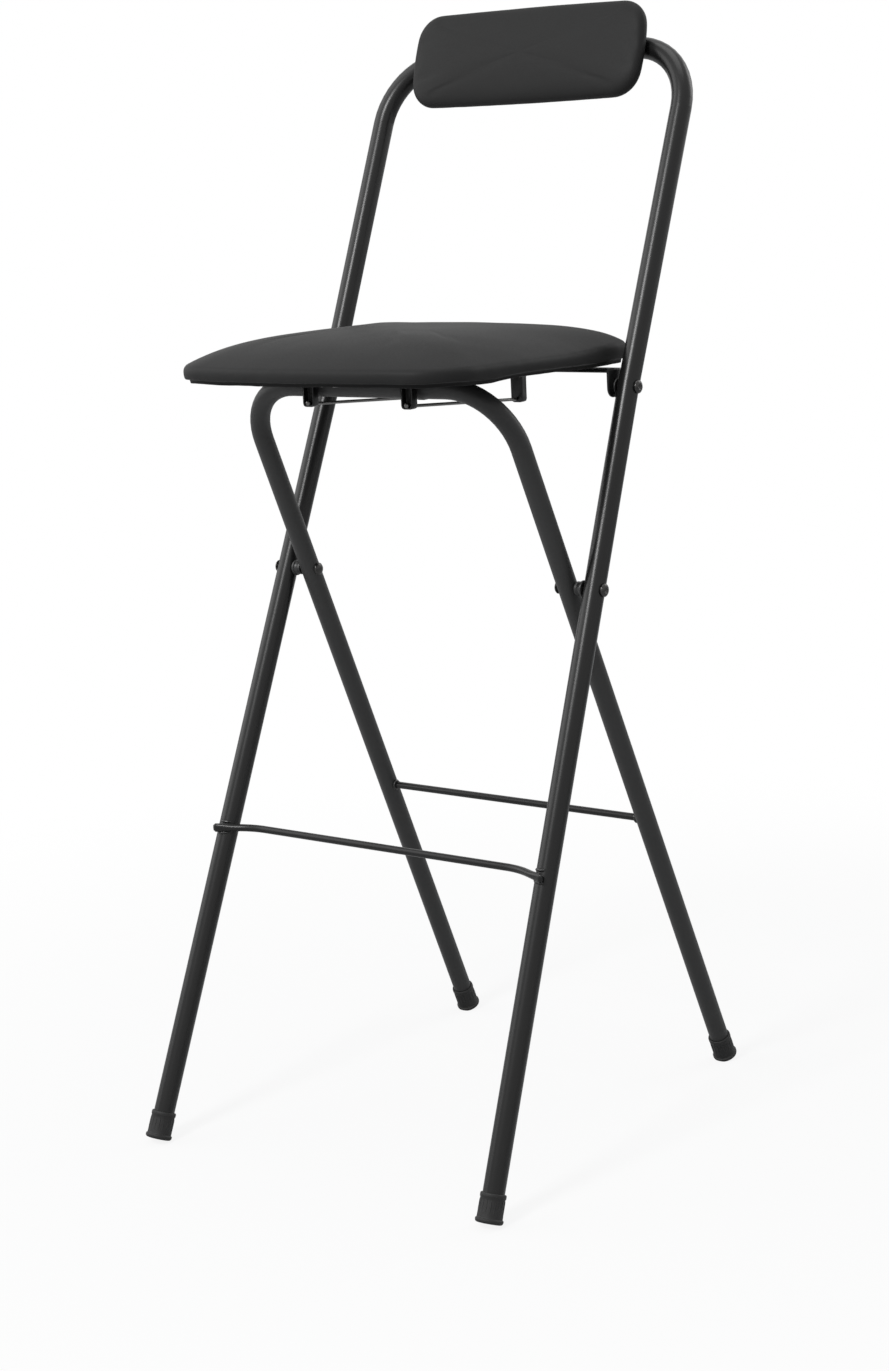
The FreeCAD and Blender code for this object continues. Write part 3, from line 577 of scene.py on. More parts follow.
makeFloor(room["floorHalf"], room["floorLevel"])
print("camera, lamps and floor set")


# the arcs of a padded piece's right half, from the front: centre, radius, start and end angle
def bowedOutline(shape):
    half, front, back, widest = (shape[k] for k in ("half", "front", "back", "widest"))
    frontCorner, backCorner = shape["frontCorner"], shape["backCorner"]
    sideChord = (back - front - frontCorner - backCorner) / 2

    def bow(chord, bulge):
        return (chord * chord + bulge * bulge) / (2 * bulge)

    sideR = bow(sideChord, shape["sideBulge"])
    frontR = bow(half - frontCorner, shape["frontBulge"])
    backR = bow(half - backCorner, shape["backBulge"])
    sideC = Vector((half - sideR, widest))
    frontC, backC = Vector((0, front + frontR)), Vector((0, back - backR))

    def cornerCentre(endC, endR, corner, near):
        first, second = sideR - corner, endR - corner
        span = endC - sideC
        along = (first ** 2 - second ** 2 + span.length ** 2) / (2 * span.length)
        off = math.sqrt(max(first ** 2 - along ** 2, 0))
        way = span.normalized()
        across = Vector((-way.y, way.x)) * off
        return min((sideC + way * along + across, sideC + way * along - across),
                   key=lambda spot: (spot - near).length)

    frontSpot = cornerCentre(frontC, frontR, frontCorner,
                             Vector((half - frontCorner, front + frontCorner)))
    backSpot = cornerCentre(backC, backR, backCorner,
                            Vector((half - backCorner, back - backCorner)))

    def angle(a, b):
        return math.atan2(b.y - a.y, b.x - a.x)

    toFront, toBack = angle(frontC, frontSpot), angle(backC, backSpot)
    sideFront, sideBack = angle(sideC, frontSpot), angle(sideC, backSpot)
    return [(frontC, frontR, -math.pi / 2, toFront), (frontSpot, frontCorner, toFront, sideFront),
            (sideC, sideR, sideFront, sideBack), (backSpot, backCorner, sideBack, toBack),
            (backC, backR, toBack, math.pi / 2)]


def outlineSamples(shape, count):           # even steps round the outline, from the front middle
    arcs = bowedOutline(shape)
    half = []
    total = sum(radius * (end - start) for _, radius, start, end in arcs)
    for index in range(count // 2 + 1):
        run = total * index / (count // 2)
        for centre, radius, start, end in arcs:
            length = radius * (end - start)
            if run <= length + 1e-6 or centre is arcs[-1][0]:
                turn = start + min(run, length) / radius
                half.append((centre, Vector((math.cos(turn), math.sin(turn))), radius))
                break
            run -= length
    mirrored = [(Vector((-c.x, c.y)), Vector((-d.x, d.y)), r) for c, d, r in half[-2:0:-1]]
    return half + mirrored


def ringSpot(sample, inset):
    centre, way, radius = sample
    return centre + way * (radius - inset)


seatShape = {"half": 163.5, "front": -195.0, "back": 120.0, "widest": -40.0, "frontCorner": 54.0,
             "backCorner": 15.0, "sideBulge": 3.5, "frontBulge": 9.0, "backBulge": 6.3}
padShape = {"half": 134.0, "front": -47.3, "back": 47.3, "widest": 0.0, "frontCorner": 27.0,
            "backCorner": 27.0, "sideBulge": 1.0, "frontBulge": 1.0, "backBulge": 1.0}


def smoothProfile(stations, per):           # an easy line through (inset, height) stations
    line = []
    last = len(stations) - 1
    for index in range(last):
        p0, p1 = Vector(stations[max(index - 1, 0)]), Vector(stations[index])
        p2, p3 = Vector(stations[index + 1]), Vector(stations[min(index + 2, last)])
        for step in range(per):
            t = step / per
            line.append((p1 * 2 + (p2 - p0) * t + (p0 * 2 - p1 * 5 + p2 * 4 - p3) * t * t
                         + (p1 * 3 - p0 - p2 * 3 + p3) * t ** 3) * 0.5)
    line.append(Vector(stations[-1]))
    return line


def unit(value):
    return max(0.0, min(1.0, value))


# a closed cover: under the board, round the roll and over the crown
def coverShell(look, place):
    shape, count = look["outline"], look["around"]
    samples = outlineSamples(shape, count)
    profile = [Vector(look["hem"][0])]
    profile += smoothProfile(look["hem"][1:] + look["side"], look["steps"])
    points, faces = [], []
    for level, (inset, height) in enumerate(profile):
        for index, sample in enumerate(samples):
            turn = index / count * 2 * math.pi
            x, y = math.cos(turn), math.sin(turn)
            low = unit((look["waveTop"] - height) / look["waveBand"])
            sway = noise.noise(Vector((x * look["waves"], y * look["waves"], look["seed"])))
            pucker = noise.noise(Vector((x * look["puckers"], y * look["puckers"],
                                         look["seed"] + 7)))
            drop = low * (sway * look["waveDepth"] + abs(pucker) * look["puckerDepth"])
            push = low * pucker * look["puckerDepth"] * 0.8
            spot = ringSpot(sample, inset + (push if level else 0.0))
            points.append(Vector((spot.x, spot.y, height - (drop if level else 0.0))))
    middle = Vector(look["middle"])
    rim = [ringSpot(sample, profile[-1][0]) for sample in samples]
    top = profile[-1][1]
    rings = look["crownRings"]
    for ring in range(1, rings):
        t = ring / rings
        risen = min(1.0, t / look["crownReach"])
        height = top + look["crown"] * (1 - (1 - risen) ** look["crownEase"])
        for spot in rim:
            near = middle + (spot - middle) * (1 - t)
            points.append(Vector((near.x, near.y, height)))
    rows = len(profile) + rings - 1
    peak = len(points)
    points.append(Vector((middle.x, middle.y, top + look["crown"])))
    base = len(points)
    points.append(Vector((middle.x, middle.y, profile[0][1])))
    for level in range(rows - 1):
        for step in range(count):
            after = (step + 1) % count
            faces.append((level * count + step, level * count + after,
                          (level + 1) * count + after, (level + 1) * count + step))
    for step in range(count):
        after = (step + 1) % count
        faces.append(((rows - 1) * count + step, (rows - 1) * count + after, peak))
        faces.append((after, step, base))
    heights = [p.z for p in points]
    for point in points:                    # the foam is fuller along the back edge
        rear = unit((point.y - look["rearFrom"]) / (look["rearTo"] - look["rearFrom"]))
        fade = unit((40.0 - point.z) / 20.0)
        point.z += max(0.0, point.z) * look["rearSwell"] * rear * rear * (3 - 2 * rear) * fade
    return [place @ (p * mm) for p in points], faces, heights


def makeCover(name, look, place, material, body, node):
    points, faces, heights = coverShell(look, place)
    cover = makePiece(name, points, faces, material)
    if len(cover.data.vertices) != len(points):
        raise ValueError(name + " lost points when its doubles were merged")
    inflate(cover, look, heights)
    sag(cover, look, heights, place)
    soften = cover.modifiers.new("soften", "SUBSURF")
    soften.levels = soften.render_levels = 1
    applied(cover)
    smoothed(cover)
    cover.data.materials.append(shadedHemVinyl)       # the turned-under edge gets a darker copy of the vinyl: painted shade under the roll
    home = place.inverted()
    for face in cover.data.polygons:
        # faces low on the cover take the darker vinyl, painted shade
        if (home @ face.center).z / mm < look["paintedShadeTop"]:
            face.material_index = 1
    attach(cover, body)
    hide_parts(node)


clothFrames = 20


def inflate(cover, look, heights):          # the foam presses the vinyl out; the hem stays stapled
    before = [v.co.copy() for v in cover.data.vertices]
    held = cover.vertex_groups.new(name="held")
    for index, height in enumerate(heights):
        free = unit((height - look["heldBelow"]) / look["heldBand"])
        held.add([index], 1.0 - 0.92 * free, "REPLACE")
    cloth = cover.modifiers.new("vinylCover", "CLOTH")
    settings = cloth.settings
    settings.quality = 5
    settings.mass = 0.3
    settings.use_pressure = True
    settings.uniform_pressure_force = look["pressure"]
    settings.tension_stiffness = settings.compression_stiffness = look["stiffness"]
    settings.shear_stiffness = 8
    settings.bending_stiffness = 1.5
    settings.vertex_group_mass = "held"
    settings.effector_weights.gravity = 0
    cloth.point_cache.frame_start = 1
    cloth.point_cache.frame_end = clothFrames
    for step in range(1, clothFrames + 1):
        bpy.context.scene.frame_set(step)
    applied(cover)
    largest = 0.0
    for old, vertex in zip(before, cover.data.vertices):
        shift = vertex.co - old
        largest = max(largest, shift.length)
        if shift.length > look["cap"]:
            vertex.co = old + shift.normalized() * look["cap"]
    bpy.context.scene.frame_set(1)
    print(cover.name, "pressed out by up to", round(largest * 1000, 2), "mm")


def sag(cover, look, heights, place):       # soft unevenness of foam and stretched vinyl
    home = place.inverted()
    normals = [v.normal.copy() for v in cover.data.vertices]
    for vertex, normal, height in zip(cover.data.vertices, normals, heights):
        spot = home @ vertex.co / mm
        free = unit((height - look["heldBelow"]) / look["heldBand"])
        wide = noise.noise(spot / 75 + Vector((look["seed"], 0, 0)))
        near = noise.noise(spot / 26 + Vector((0, look["seed"], 0)))
        pull = noise.noise(Vector((spot.x / 9, spot.y / 9, height / 30)))
        edge = max(0.0, 1 - abs(height - look["pullAt"]) / look["pullBand"])
        vertex.co += normal * mm * (free * (wide * look["unevenWide"] + near * look["unevenNear"])
                                    + edge * pull * look["pullDepth"])


seatPlace = (Matrix.Translation(Vector(stool["seatContact"]) * mm)
             @ Matrix.Rotation(math.radians(-stool["seatTilt"]), 4, "X")
             @ Matrix.Translation(Vector((0, -stool["seatContact"][1], 0)) * mm))
seatCover = {                   # heights are over the underside of the board
    "outline": seatShape, "around": 208, "steps": 3, "middle": (0.0, -37.5),
    "hem": [(26.0, 0.5), (26.0, -0.6), (16.0, -0.8), (7.4, -0.8), (6.2, -0.2), (5.8, 1.4)],
    "side": [(4.9, 2.7), (2.2, 2.9), (0.7, 4.5), (0.0, 8.6), (0.7, 12.6), (3.3, 15.6)],
    "crown": 24.6, "crownEase": 2.05, "crownReach": 0.6, "crownRings": 26, "paintedShadeTop": 2.1,
    "rearFrom": 0.0, "rearTo": 100.0, "rearSwell": 0.26,
    "waveTop": 9.0, "waveBand": 6.0, "waves": 3.4, "waveDepth": 1.5, "seed": 3.1,
    "puckers": 11.0, "puckerDepth": 0.6,
    "heldBelow": 7.0, "heldBand": 12.0, "pressure": 3.2, "stiffness": 24, "cap": 0.0025,
    "unevenWide": 0.6, "unevenNear": 0.20, "pullAt": 12.0, "pullBand": 9.0, "pullDepth": 0.28,
    "fill": 0.85,
}
makeCover("seatCushionCover", seatCover, seatPlace, seatVinyl, "seat", "seat_cushion")

padPlace = (Matrix.Translation(Vector(stool["padFoot"]) * mm)
            @ Matrix.Rotation(math.radians(90 - stool["padLean"]), 4, "X"))
padCover = {
    "outline": padShape, "around": 176, "steps": 2, "middle": (0.0, 0.0),
    "hem": [(18.0, 0.6), (18.0, -0.12), (12.0, -0.2), (8.0, -0.15), (6.0, 0.5)],
    "side": [(3.6, 1.7), (1.0, 4.4), (0.0, 7.9), (0.7, 11.6), (3.0, 14.6), (8.0, 16.9),
             (15.0, 18.4)],
    "crown": 1.6, "crownEase": 2.2, "crownReach": 1.0, "crownRings": 9, "paintedShadeTop": 1.0,
    "rearFrom": 900.0, "rearTo": 1000.0, "rearSwell": 0.0,
    "waveTop": 7.0, "waveBand": 6.0, "waves": 2.2, "waveDepth": 0.35, "seed": 8.4,
    "puckers": 9.0, "puckerDepth": 0.28,
    "heldBelow": 2.0, "heldBand": 9.0, "pressure": 2.6, "stiffness": 26, "cap": 0.0022,
    "unevenWide": 0.35, "unevenNear": 0.12, "pullAt": 6.0, "pullBand": 6.0, "pullDepth": 0.16,
    "fill": 0.9,
}
makeCover("backrestCushionCover", padCover, padPlace, seatVinyl, "back_frame",
          "backrest_cushion")
print("padded covers made")


def stapleRow(name, loop, look, body):      # loop: a closed line under the board's edge
    pattern = Pattern(name, {
        "Spacing": ("NodeSocketFloat", look["spacing"]),
        "Length": ("NodeSocketFloat", look["long"]),
        "Wire": ("NodeSocketFloat", look["wire"]),
        "Crooked": ("NodeSocketFloat", look["crooked"]),
        "Seed": ("NodeSocketInt", look["seed"])})
    curve = pattern.put("GeometryNodeMeshToCurve", {0: pattern.given("Geometry")})
    spread = pattern.put("GeometryNodeResampleCurve", {"Curve": curve.outputs[0],
                                                       "Length": pattern.given("Spacing")},
                         mode="LENGTH")
    bar = pattern.put("ShaderNodeCombineXYZ", {0: pattern.given("Length"), 1: pattern.given("Wire"),
                                               2: pattern.given("Wire")})
    crown = pattern.put("GeometryNodeMeshCube", {"Size": bar.outputs[0]})
    tangent = pattern.put("GeometryNodeInputTangent")
    along = pattern.put("FunctionNodeAlignRotationToVector", {"Vector": tangent.outputs[0]},
                        axis="X")
    least = pattern.maths("MULTIPLY", pattern.given("Crooked"), -1.0)
    skew = pattern.put("FunctionNodeRandomValue", {"Seed": pattern.given("Seed")},
                       data_type="FLOAT")
    pattern.tree.links.new(least, skew.inputs[2])
    pattern.tree.links.new(pattern.given("Crooked"), skew.inputs[3])
    turn = pattern.put("FunctionNodeAxisAngleToRotation", {"Axis": (0, 0, 1),
                                                           "Angle": skew.outputs[1]})
    both = pattern.put("FunctionNodeRotateRotation", {0: along.outputs[0], 1: turn.outputs[0]})
    placed = pattern.put("GeometryNodeInstanceOnPoints", {
        "Points": spread.outputs[0], "Instance": crown.outputs[0], "Rotation": both.outputs[0]})
    staples = pattern.build(name, placed.outputs[0], stapleSteel, loopMesh(name, loop))
    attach(staples, body)


def loopMesh(name, line):
    mesh = bpy.data.meshes.new(name + "Line")
    count = len(line)
    edges = [(i, (i + 1) % count) for i in range(count)]
    mesh.from_pydata([tuple(p) for p in line], edges, [])
    return mesh


def hemLine(cover, look, place):
    samples = outlineSamples(cover["outline"], 120)
    return [place @ (Vector((*ringSpot(s, look["inset"]), look["height"])) * mm)
            for s in samples]


seatStaple = {"spacing": 0.021, "long": 0.0098, "wire": 0.0008, "crooked": 0.22, "seed": 4,
              "inset": 17.0, "height": -0.85}
stapleRow("seatStaples", hemLine(seatCover, seatStaple, seatPlace), seatStaple, "seat")
padStaple = {"spacing": 0.019, "long": 0.0098, "wire": 0.0009, "crooked": 0.2, "seed": 9,
             "inset": 12.5, "height": -0.45}
stapleRow("backrestStaples", hemLine(padCover, padStaple, padPlace), padStaple, "back_frame")


def screwMaster(radius, height):            # pan head with a crossed recess, top along +Z
    shape = bmesh.new()
    rings = [(0.0, 0.97), (0.25, 1.0), (0.55, 0.93), (0.82, 0.74), (0.96, 0.48)]
    around = 24
    loops = []
    for rise, wide in rings:
        loops.append([shape.verts.new((math.cos(2 * math.pi * k / around) * radius * wide,
                                       math.sin(2 * math.pi * k / around) * radius * wide,
                                       rise * height)) for k in range(around)])
    slot = []
    for k in range(around):                 # the recess: every sixth pair of points reaches out
        phase = k % 6
        reach = 0.40 if phase in (0, 1, 5) else 0.15
        turn = 2 * math.pi * k / around
        slot.append(shape.verts.new((math.cos(turn) * radius * reach,
                                     math.sin(turn) * radius * reach, height)))
    deep = [shape.verts.new((v.co.x * 0.7, v.co.y * 0.7, height * 0.35)) for v in slot]
    loops += [slot, deep]
    for low, high in zip(loops, loops[1:]):
        for k in range(around):
            after = (k + 1) % around
            shape.faces.new((low[k], low[after], high[after], high[k]))
    shape.faces.new(deep)
    shape.faces.new(loops[0][::-1])
    bmesh.ops.recalc_face_normals(shape, faces=shape.faces)
    mesh = bpy.data.meshes.new("screwMaster")
    shape.to_mesh(mesh)
    shape.free()
    return linked("screwMaster", mesh)


def screwSet(name, spots, look, material, body):      # spots: place and outward way
    master = screwMaster(1.0, look["tall"] / look["radius"])
    mesh = bpy.data.meshes.new(name + "Spots")
    mesh.from_pydata([tuple(spot) for spot, _ in spots], [], [])
    way = mesh.attributes.new("way", "FLOAT_VECTOR", "POINT")
    for index, (_, outward) in enumerate(spots):
        way.data[index].vector = Vector(outward).normalized()
    pattern = Pattern(name, {"Radius": ("NodeSocketFloat", look["radius"]),
                             "Seed": ("NodeSocketInt", look["seed"])})
    source = pattern.put("GeometryNodeObjectInfo", {"Object": master})
    facing = pattern.put("GeometryNodeInputNamedAttribute", {"Name": "way"},
                         data_type="FLOAT_VECTOR")
    aimed = pattern.put("FunctionNodeAlignRotationToVector", {"Vector": facing.outputs[0]},
                        axis="Z")
    spin = pattern.put("FunctionNodeRandomValue", {"Seed": pattern.given("Seed")},
                       data_type="FLOAT")
    spin.inputs[3].default_value = 1.57
    turn = pattern.put("FunctionNodeAxisAngleToRotation", {"Axis": (0, 0, 1),
                                                           "Angle": spin.outputs[1]})
    both = pattern.put("FunctionNodeRotateRotation", {0: aimed.outputs[0], 1: turn.outputs[0]},
                       rotation_space="LOCAL")
    scale = pattern.put("ShaderNodeCombineXYZ", {0: pattern.given("Radius"),
                                                 1: pattern.given("Radius"),
                                                 2: pattern.given("Radius")})
    placed = pattern.put("GeometryNodeInstanceOnPoints", {
        "Points": pattern.given("Geometry"), "Instance": source.outputs["Geometry"],
        "Rotation": both.outputs[0], "Scale": scale.outputs[0]})
    screws = pattern.build(name, placed.outputs[0], material, mesh)
    bpy.data.objects.remove(master)
    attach(screws, body)


guideHalf = boxCentre("front_guide_post_right").x
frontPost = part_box("front_guide_post_right")
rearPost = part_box("rear_guide_post_right")
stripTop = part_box("seat_hinge_strip")[1].z
under = Vector((0, 0, -1))
postScrews = []
for side in (-1, 1):
    for shift in (-0.0032, 0.0032):
        postScrews.append((Vector((side * guideHalf + shift, frontPost[0].y + 0.0055,
                                   frontPost[1].z - 0.0020)), under))
        postScrews.append((Vector((side * guideHalf + shift, rearPost[1].y - 0.0050,
                                   rearPost[1].z - 0.0020)), under))
postScrew = {"radius": 0.0026, "tall": 0.0015, "seed": 2}
stripScrew = {"radius": 0.0040, "tall": 0.0024, "seed": 5}
padScrew = {"radius": 0.0048, "tall": 0.0028, "seed": 7}
screwSet("guidePostScrews", postScrews, postScrew, screwSteel, "seat")
stripScrews = [(Vector((x, seatPivot.y + y, stripTop - 0.0020)), under)
               for x, y in ((-0.040, 0.005), (-0.018, -0.006), (0.018, -0.006), (0.040, 0.005))]
screwSet("hingeStripScrews", stripScrews, stripScrew, screwSteel, "seat")
padOut = padPlace.to_3x3() @ Vector((0, 0, 1))
topTube = Vector(stool["topTube"]) * mm
backScrews = [(topTube + Vector((x, 0, 0)) - padOut * 0.0098, -padOut) for x in (-0.080, 0.080)]
screwSet("backrestScrews", backScrews, padScrew, screwSteel, "back_frame")
print("staples and screws set")


capLook = {"length": 26.5, "lip": 3.6, "edge": 2.4, "wallTop": 1.35, "wallFoot": 2.7, "ribs": 18,
           "ribLong": 15.0, "ribWide": 1.5, "ribDeep": 0.45}


def ribRing(name, look, radius):
    pattern = Pattern(name, {
        "Ribs": ("NodeSocketInt", look["ribs"]), "Radius": ("NodeSocketFloat", radius * mm),
        "Length": ("NodeSocketFloat", look["ribLong"] * mm),
        "Width": ("NodeSocketFloat", look["ribWide"] * mm),
        "Depth": ("NodeSocketFloat", look["ribDeep"] * mm)})
    ring = pattern.put("GeometryNodeMeshCircle", {"Vertices": pattern.given("Ribs"),
                                                  "Radius": pattern.given("Radius")})
    bead = pattern.put("GeometryNodeMeshUVSphere", {"Segments": 8, "Rings": 6, "Radius": 0.5})
    sizes = pattern.put("ShaderNodeCombineXYZ", {0: pattern.given("Depth"),
                                                 1: pattern.given("Width"),
                                                 2: pattern.given("Length")})
    shaped = pattern.put("GeometryNodeTransform", {"Geometry": bead.outputs[0],
                                                   "Scale": sizes.outputs[0]})
    spot = pattern.put("GeometryNodeInputPosition")
    facing = pattern.put("FunctionNodeAlignRotationToVector", {"Vector": spot.outputs[0]},
                         axis="X")
    placed = pattern.put("GeometryNodeInstanceOnPoints", {
        "Points": ring.outputs[0], "Instance": shaped.outputs[0], "Rotation": facing.outputs[0]})
    return pattern.build(name, placed.outputs[0], capRubber, bpy.data.meshes.new(name))


def footCap(name, look, tubeRadius, place):
    wide, slim = tubeRadius + look["wallFoot"], tubeRadius + look["wallTop"]
    bore, length, lip, edge = tubeRadius + 0.05, look["length"], look["lip"], look["edge"]
    profile = [(0.0, 0.0), (0.0, wide - edge), (edge * 0.10, wide - edge * 0.55),
               (edge * 0.42, wide - edge * 0.17), (edge * 0.9, wide), (lip, wide),
               (lip + 0.35, wide - 0.15), (lip + 0.6, wide - 0.6), (lip + 0.9, wide - 0.95),
               (lip + 1.6, wide - 1.05)]
    for step in range(1, 7):
        t = step / 7
        profile.append((lip + 1.6 + (length - 4.6 - lip - 1.6) * t,
                        (wide - 1.05) * (1 - t) + (slim - 0.12) * t))
    profile += [(length - 4.4, slim - 0.1), (length - 3.6, slim + 0.42),
                (length - 1.2, slim + 0.45), (length - 0.4, slim + 0.25),
                (length, slim - 0.35), (length, bore + 0.25),
                (length - 0.3, bore), (length - 3.0, bore)]
    cap = lathe(name, profile, Matrix.Identity(4), capRubber, 56)
    ribs = ribRing(name + "Ribs", look, (wide - 1.1 + slim - 0.1) / 2)
    ribs.data.transform(Matrix.Translation((0, 0, (lip + length - 3.0) / 2 * mm)))
    whole = joined(name, [cap, ribs])
    whole.data.transform(place)
    for vertex in whole.data.vertices:      # worn flat on the floor
        vertex.co.z = max(vertex.co.z, 0.00002)
    return whole


def capPair(name, which, body, node):
    radius, reach = stool[which + "Radius"], stool[which + "FootReach"]
    caps = [footCap(name + word, capLook, radius, framePlace(which, side, reach))
            for side, word in ((-1, "Left"), (1, "Right"))]
    both = joined(name, caps)
    smoothed(both)
    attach(both, body)
    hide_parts(node)


capPair("frontFootCaps", "back", "back_frame", "front_foot_caps")
capPair("rearFootCaps", "leg", "rear_leg_frame", "rear_foot_caps")
print("foot caps made")


rivetLook = {"shank": 3.0, "head": 6.25, "rise": 2.6, "dimple": 2.5, "sunk": 1.5}
rivetInner = {"scissor": 142.9, "seatPivot": 161.8}     # where the inner head sits, from the middle


def headOutline(look, seat):                # a domed head with a punched dimple
    head, rise, dimple = look["head"], look["rise"], look["dimple"]
    shape = [(0.0, 0.96), (0.22, 1.0), (0.5, 0.96), (0.74, 0.84), (0.92, 0.66), (1.0, 0.52)]
    line = [(seat + rise * up, head * wide) for up, wide in shape]
    floor = seat + (rise - look["sunk"])
    return line + [(seat + rise * 0.97, dimple),
                   (seat + (rise - look["sunk"] * 0.6), dimple * 0.86),
                   (floor, dimple * 0.5), (floor, 0)]


def rivetPair(name, look, node, innerSeat, material):
    centre = boxCentre(node)
    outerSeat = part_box(node)[1].x / mm - look["rise"]
    rivets = []
    for side in (-1, 1):
        place = alongX(Vector((0, centre.y, centre.z)), side)
        inner = [(innerSeat - look["rise"] * up, look["head"] * wide) for up, wide in
                 ((1.0, 0.0), (1.0, 0.3), (0.86, 0.62), (0.55, 0.88), (0.2, 1.0), (0.0, 0.97))]
        profile = (inner + [(innerSeat, look["shank"]), (outerSeat, look["shank"])]
                   + headOutline(look, outerSeat))
        rivets.append(lathe(name + str(side), profile, place, material, 48))
    both = joined(name, rivets)
    smoothed(both)
    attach(both, "back_frame")
    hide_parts(node)


rivetPair("scissorRivets", rivetLook, "scissor_rivets", rivetInner["scissor"], rivetSteel)
rivetPair("seatPivotRivets", rivetLook, "seat_pivot_rivets", rivetInner["seatPivot"], rivetSteel)


def ringPair(name, node, profile, material):
    centre = boxCentre(node)
    rings = [lathe(name + str(side), profile, alongX(Vector((0, centre.y, centre.z)), side),
                   material, 40) for side in (-1, 1)]
    both = joined(name, rings)
    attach(both, "back_frame")
    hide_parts(node)


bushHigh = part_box("scissor_bushes")[1].x / mm
ringPair("scissorBushes", "scissor_bushes", [
    (162.5, 3.1), (162.5, 5.6), (162.8, 6.2), (164.3, 6.5), (164.7, 5.9), (165.3, 5.7),
    (165.9, 5.9), (166.3, 6.5), (168.4, 6.5), (168.9, 6.7), (169.0, 7.4), (169.3, 7.75),
    (170.7, 7.75), (bushHigh, 7.4), (bushHigh, 3.1), (162.5, 3.1)], bushPlastic)
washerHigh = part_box("seat_pivot_washers")[1].x / mm
ringPair("seatPivotWashers", "seat_pivot_washers", [
    (164.35, 3.1), (164.35, 7.1), (164.6, 7.5), (washerHigh - 0.25, 7.5), (washerHigh, 7.1),
    (washerHigh, 3.1), (164.35, 3.1)], bushPlastic)
print("rivets, bushes and washers made")


rodLook = {"radius": 3.5, "front": (288.0, -104.864), "crankStart": 157.675,
           "tip": (194.6, -121.95), "bend": 14.0,
           "flatFrom": 20.0, "flatWide": 2.35, "flatTall": 4.35}


def frontRod(look):
    z, y = look["front"]
    corner = (look["crankStart"], y)
    runs = rounded([(0, y, z), (*corner, z), (*look["tip"], z)], look["bend"], 10)
    dense = []
    for first, second in zip(runs, runs[1:]):
        steps = max(1, int((second - first).length / 2.0))
        for step in range(steps):
            dense.append(first.lerp(second, step / steps))
    dense.append(runs[-1])
    mirrored = [Vector((-p.x, p.y, p.z)) for p in dense[:0:-1]]
    path = [p * mm for p in mirrored + dense]
    lengths = [0.0]
    for first, second in zip(path, path[1:]):
        lengths.append(lengths[-1] + (second - first).length / mm)
    total = lengths[-1]

    def section(share):
        index = round(share * (len(path) - 1))
        toTip = min(lengths[index], total - lengths[index])
        flat = unit(1 - (toTip - 2) / look["flatFrom"])
        flat = flat * flat * (3 - 2 * flat)
        wide = look["radius"] * (1 - flat) + look["flatWide"] * flat
        tall = look["radius"] * (1 - flat) + look["flatTall"] * flat
        end = min(1.0, (toTip + 0.25) / 2.6)
        ease = math.sqrt(max(0.0, 1 - (1 - end) ** 2))
        return wide * ease * mm, tall * (0.35 + 0.65 * ease) * mm

    return sweep("frontFootrestRod", path, section, framePaint, 24)


def onTube(which, side, height, around):    # a spot on a leg's skin; 0 faces the front
    lean = math.radians(stool[which + "Lean"]) * (1 if which == "back" else -1)
    radius = stool[which + "Radius"]
    half0, splay = stool[which + "HalfAtCrossing"], math.radians(stool[which + "Splay"])
    x0, y0, z0 = stool["crossing"]
    out = Vector((math.sin(around) * side, -math.cos(around) * math.cos(lean),
                  math.cos(around) * math.sin(lean)))
    reach = (height - z0 - radius * out.z) / math.cos(lean)
    centre = Vector((side * (half0 - reach * math.tan(splay)), y0 + reach * math.sin(lean),
                     z0 + reach * math.cos(lean)))
    return centre + out * radius


def weldBead(name, spots, radius, seed):    # a rippled run of weld
    path = []
    for first, second in zip(spots, spots[1:]):
        for step in range(4):
            path.append(first.lerp(second, step / 4) * mm)
    path.append(spots[-1] * mm)

    def section(share):
        end = math.sqrt(max(0.03, 1 - (2 * share - 1) ** 4))
        ripple = 1 + 0.13 * math.sin(share * 31 + seed) + 0.16 * noise.noise(
            Vector((share * 6, seed, 0)))
        return radius * end * ripple * mm, radius * 0.85 * end * ripple * mm

    return sweep(name, path, section, weldPaint, 12)


def ringBead(name, centre, out, ringRadius, radius, seed):
    spots = []
    side = out.orthogonal().normalized()
    up = out.cross(side)
    for step in range(33):
        turn = 2 * math.pi * step / 32
        wobble = 1 + 0.07 * noise.noise(Vector((math.cos(turn), math.sin(turn), seed)))
        spots.append(centre + (side * math.cos(turn) + up * math.sin(turn)) * ringRadius * wobble)
    path = [s * mm for s in spots]
    points, faces = [], []
    around = 10                             # the run closes on itself after 32 steps
    for index in range(32):
        spot = path[index]
        radial = (spot - centre * mm).normalized()
        ripple = 1 + 0.16 * math.sin(index * 2.3 + seed) + 0.2 * noise.noise(
            Vector((index * 0.4, seed, 3)))
        for step in range(around):
            turn = 2 * math.pi * step / around
            points.append(spot + (radial * math.cos(turn) + out * math.sin(turn))
                          * radius * ripple * mm)
    for index in range(32):
        for step in range(around):
            after, ahead = (step + 1) % around, (index + 1) % 32
            faces.append((index * around + step, index * around + after, ahead * around + after,
                          ahead * around + step))
    return makePiece(name, points, faces, weldPaint)


rod = frontRod(rodLook)
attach(rod, "back_frame")
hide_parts("front_footrest_rod")
beads = []
for side in (-1, 1):
    for lift, seed in ((4.6, 1.3), (-4.6, 4.1)):
        spots = [onTube("back", side, rodLook["front"][0] + lift * (1 + 0.05 * k), turn)
                 for k, turn in enumerate((-0.80, -0.5, -0.2, 0.1, 0.40))]
        beads.append(weldBead("bead", spots, 1.75, seed + side))
frontBeads = joined("frontRodWelds", beads)
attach(frontBeads, "back_frame")

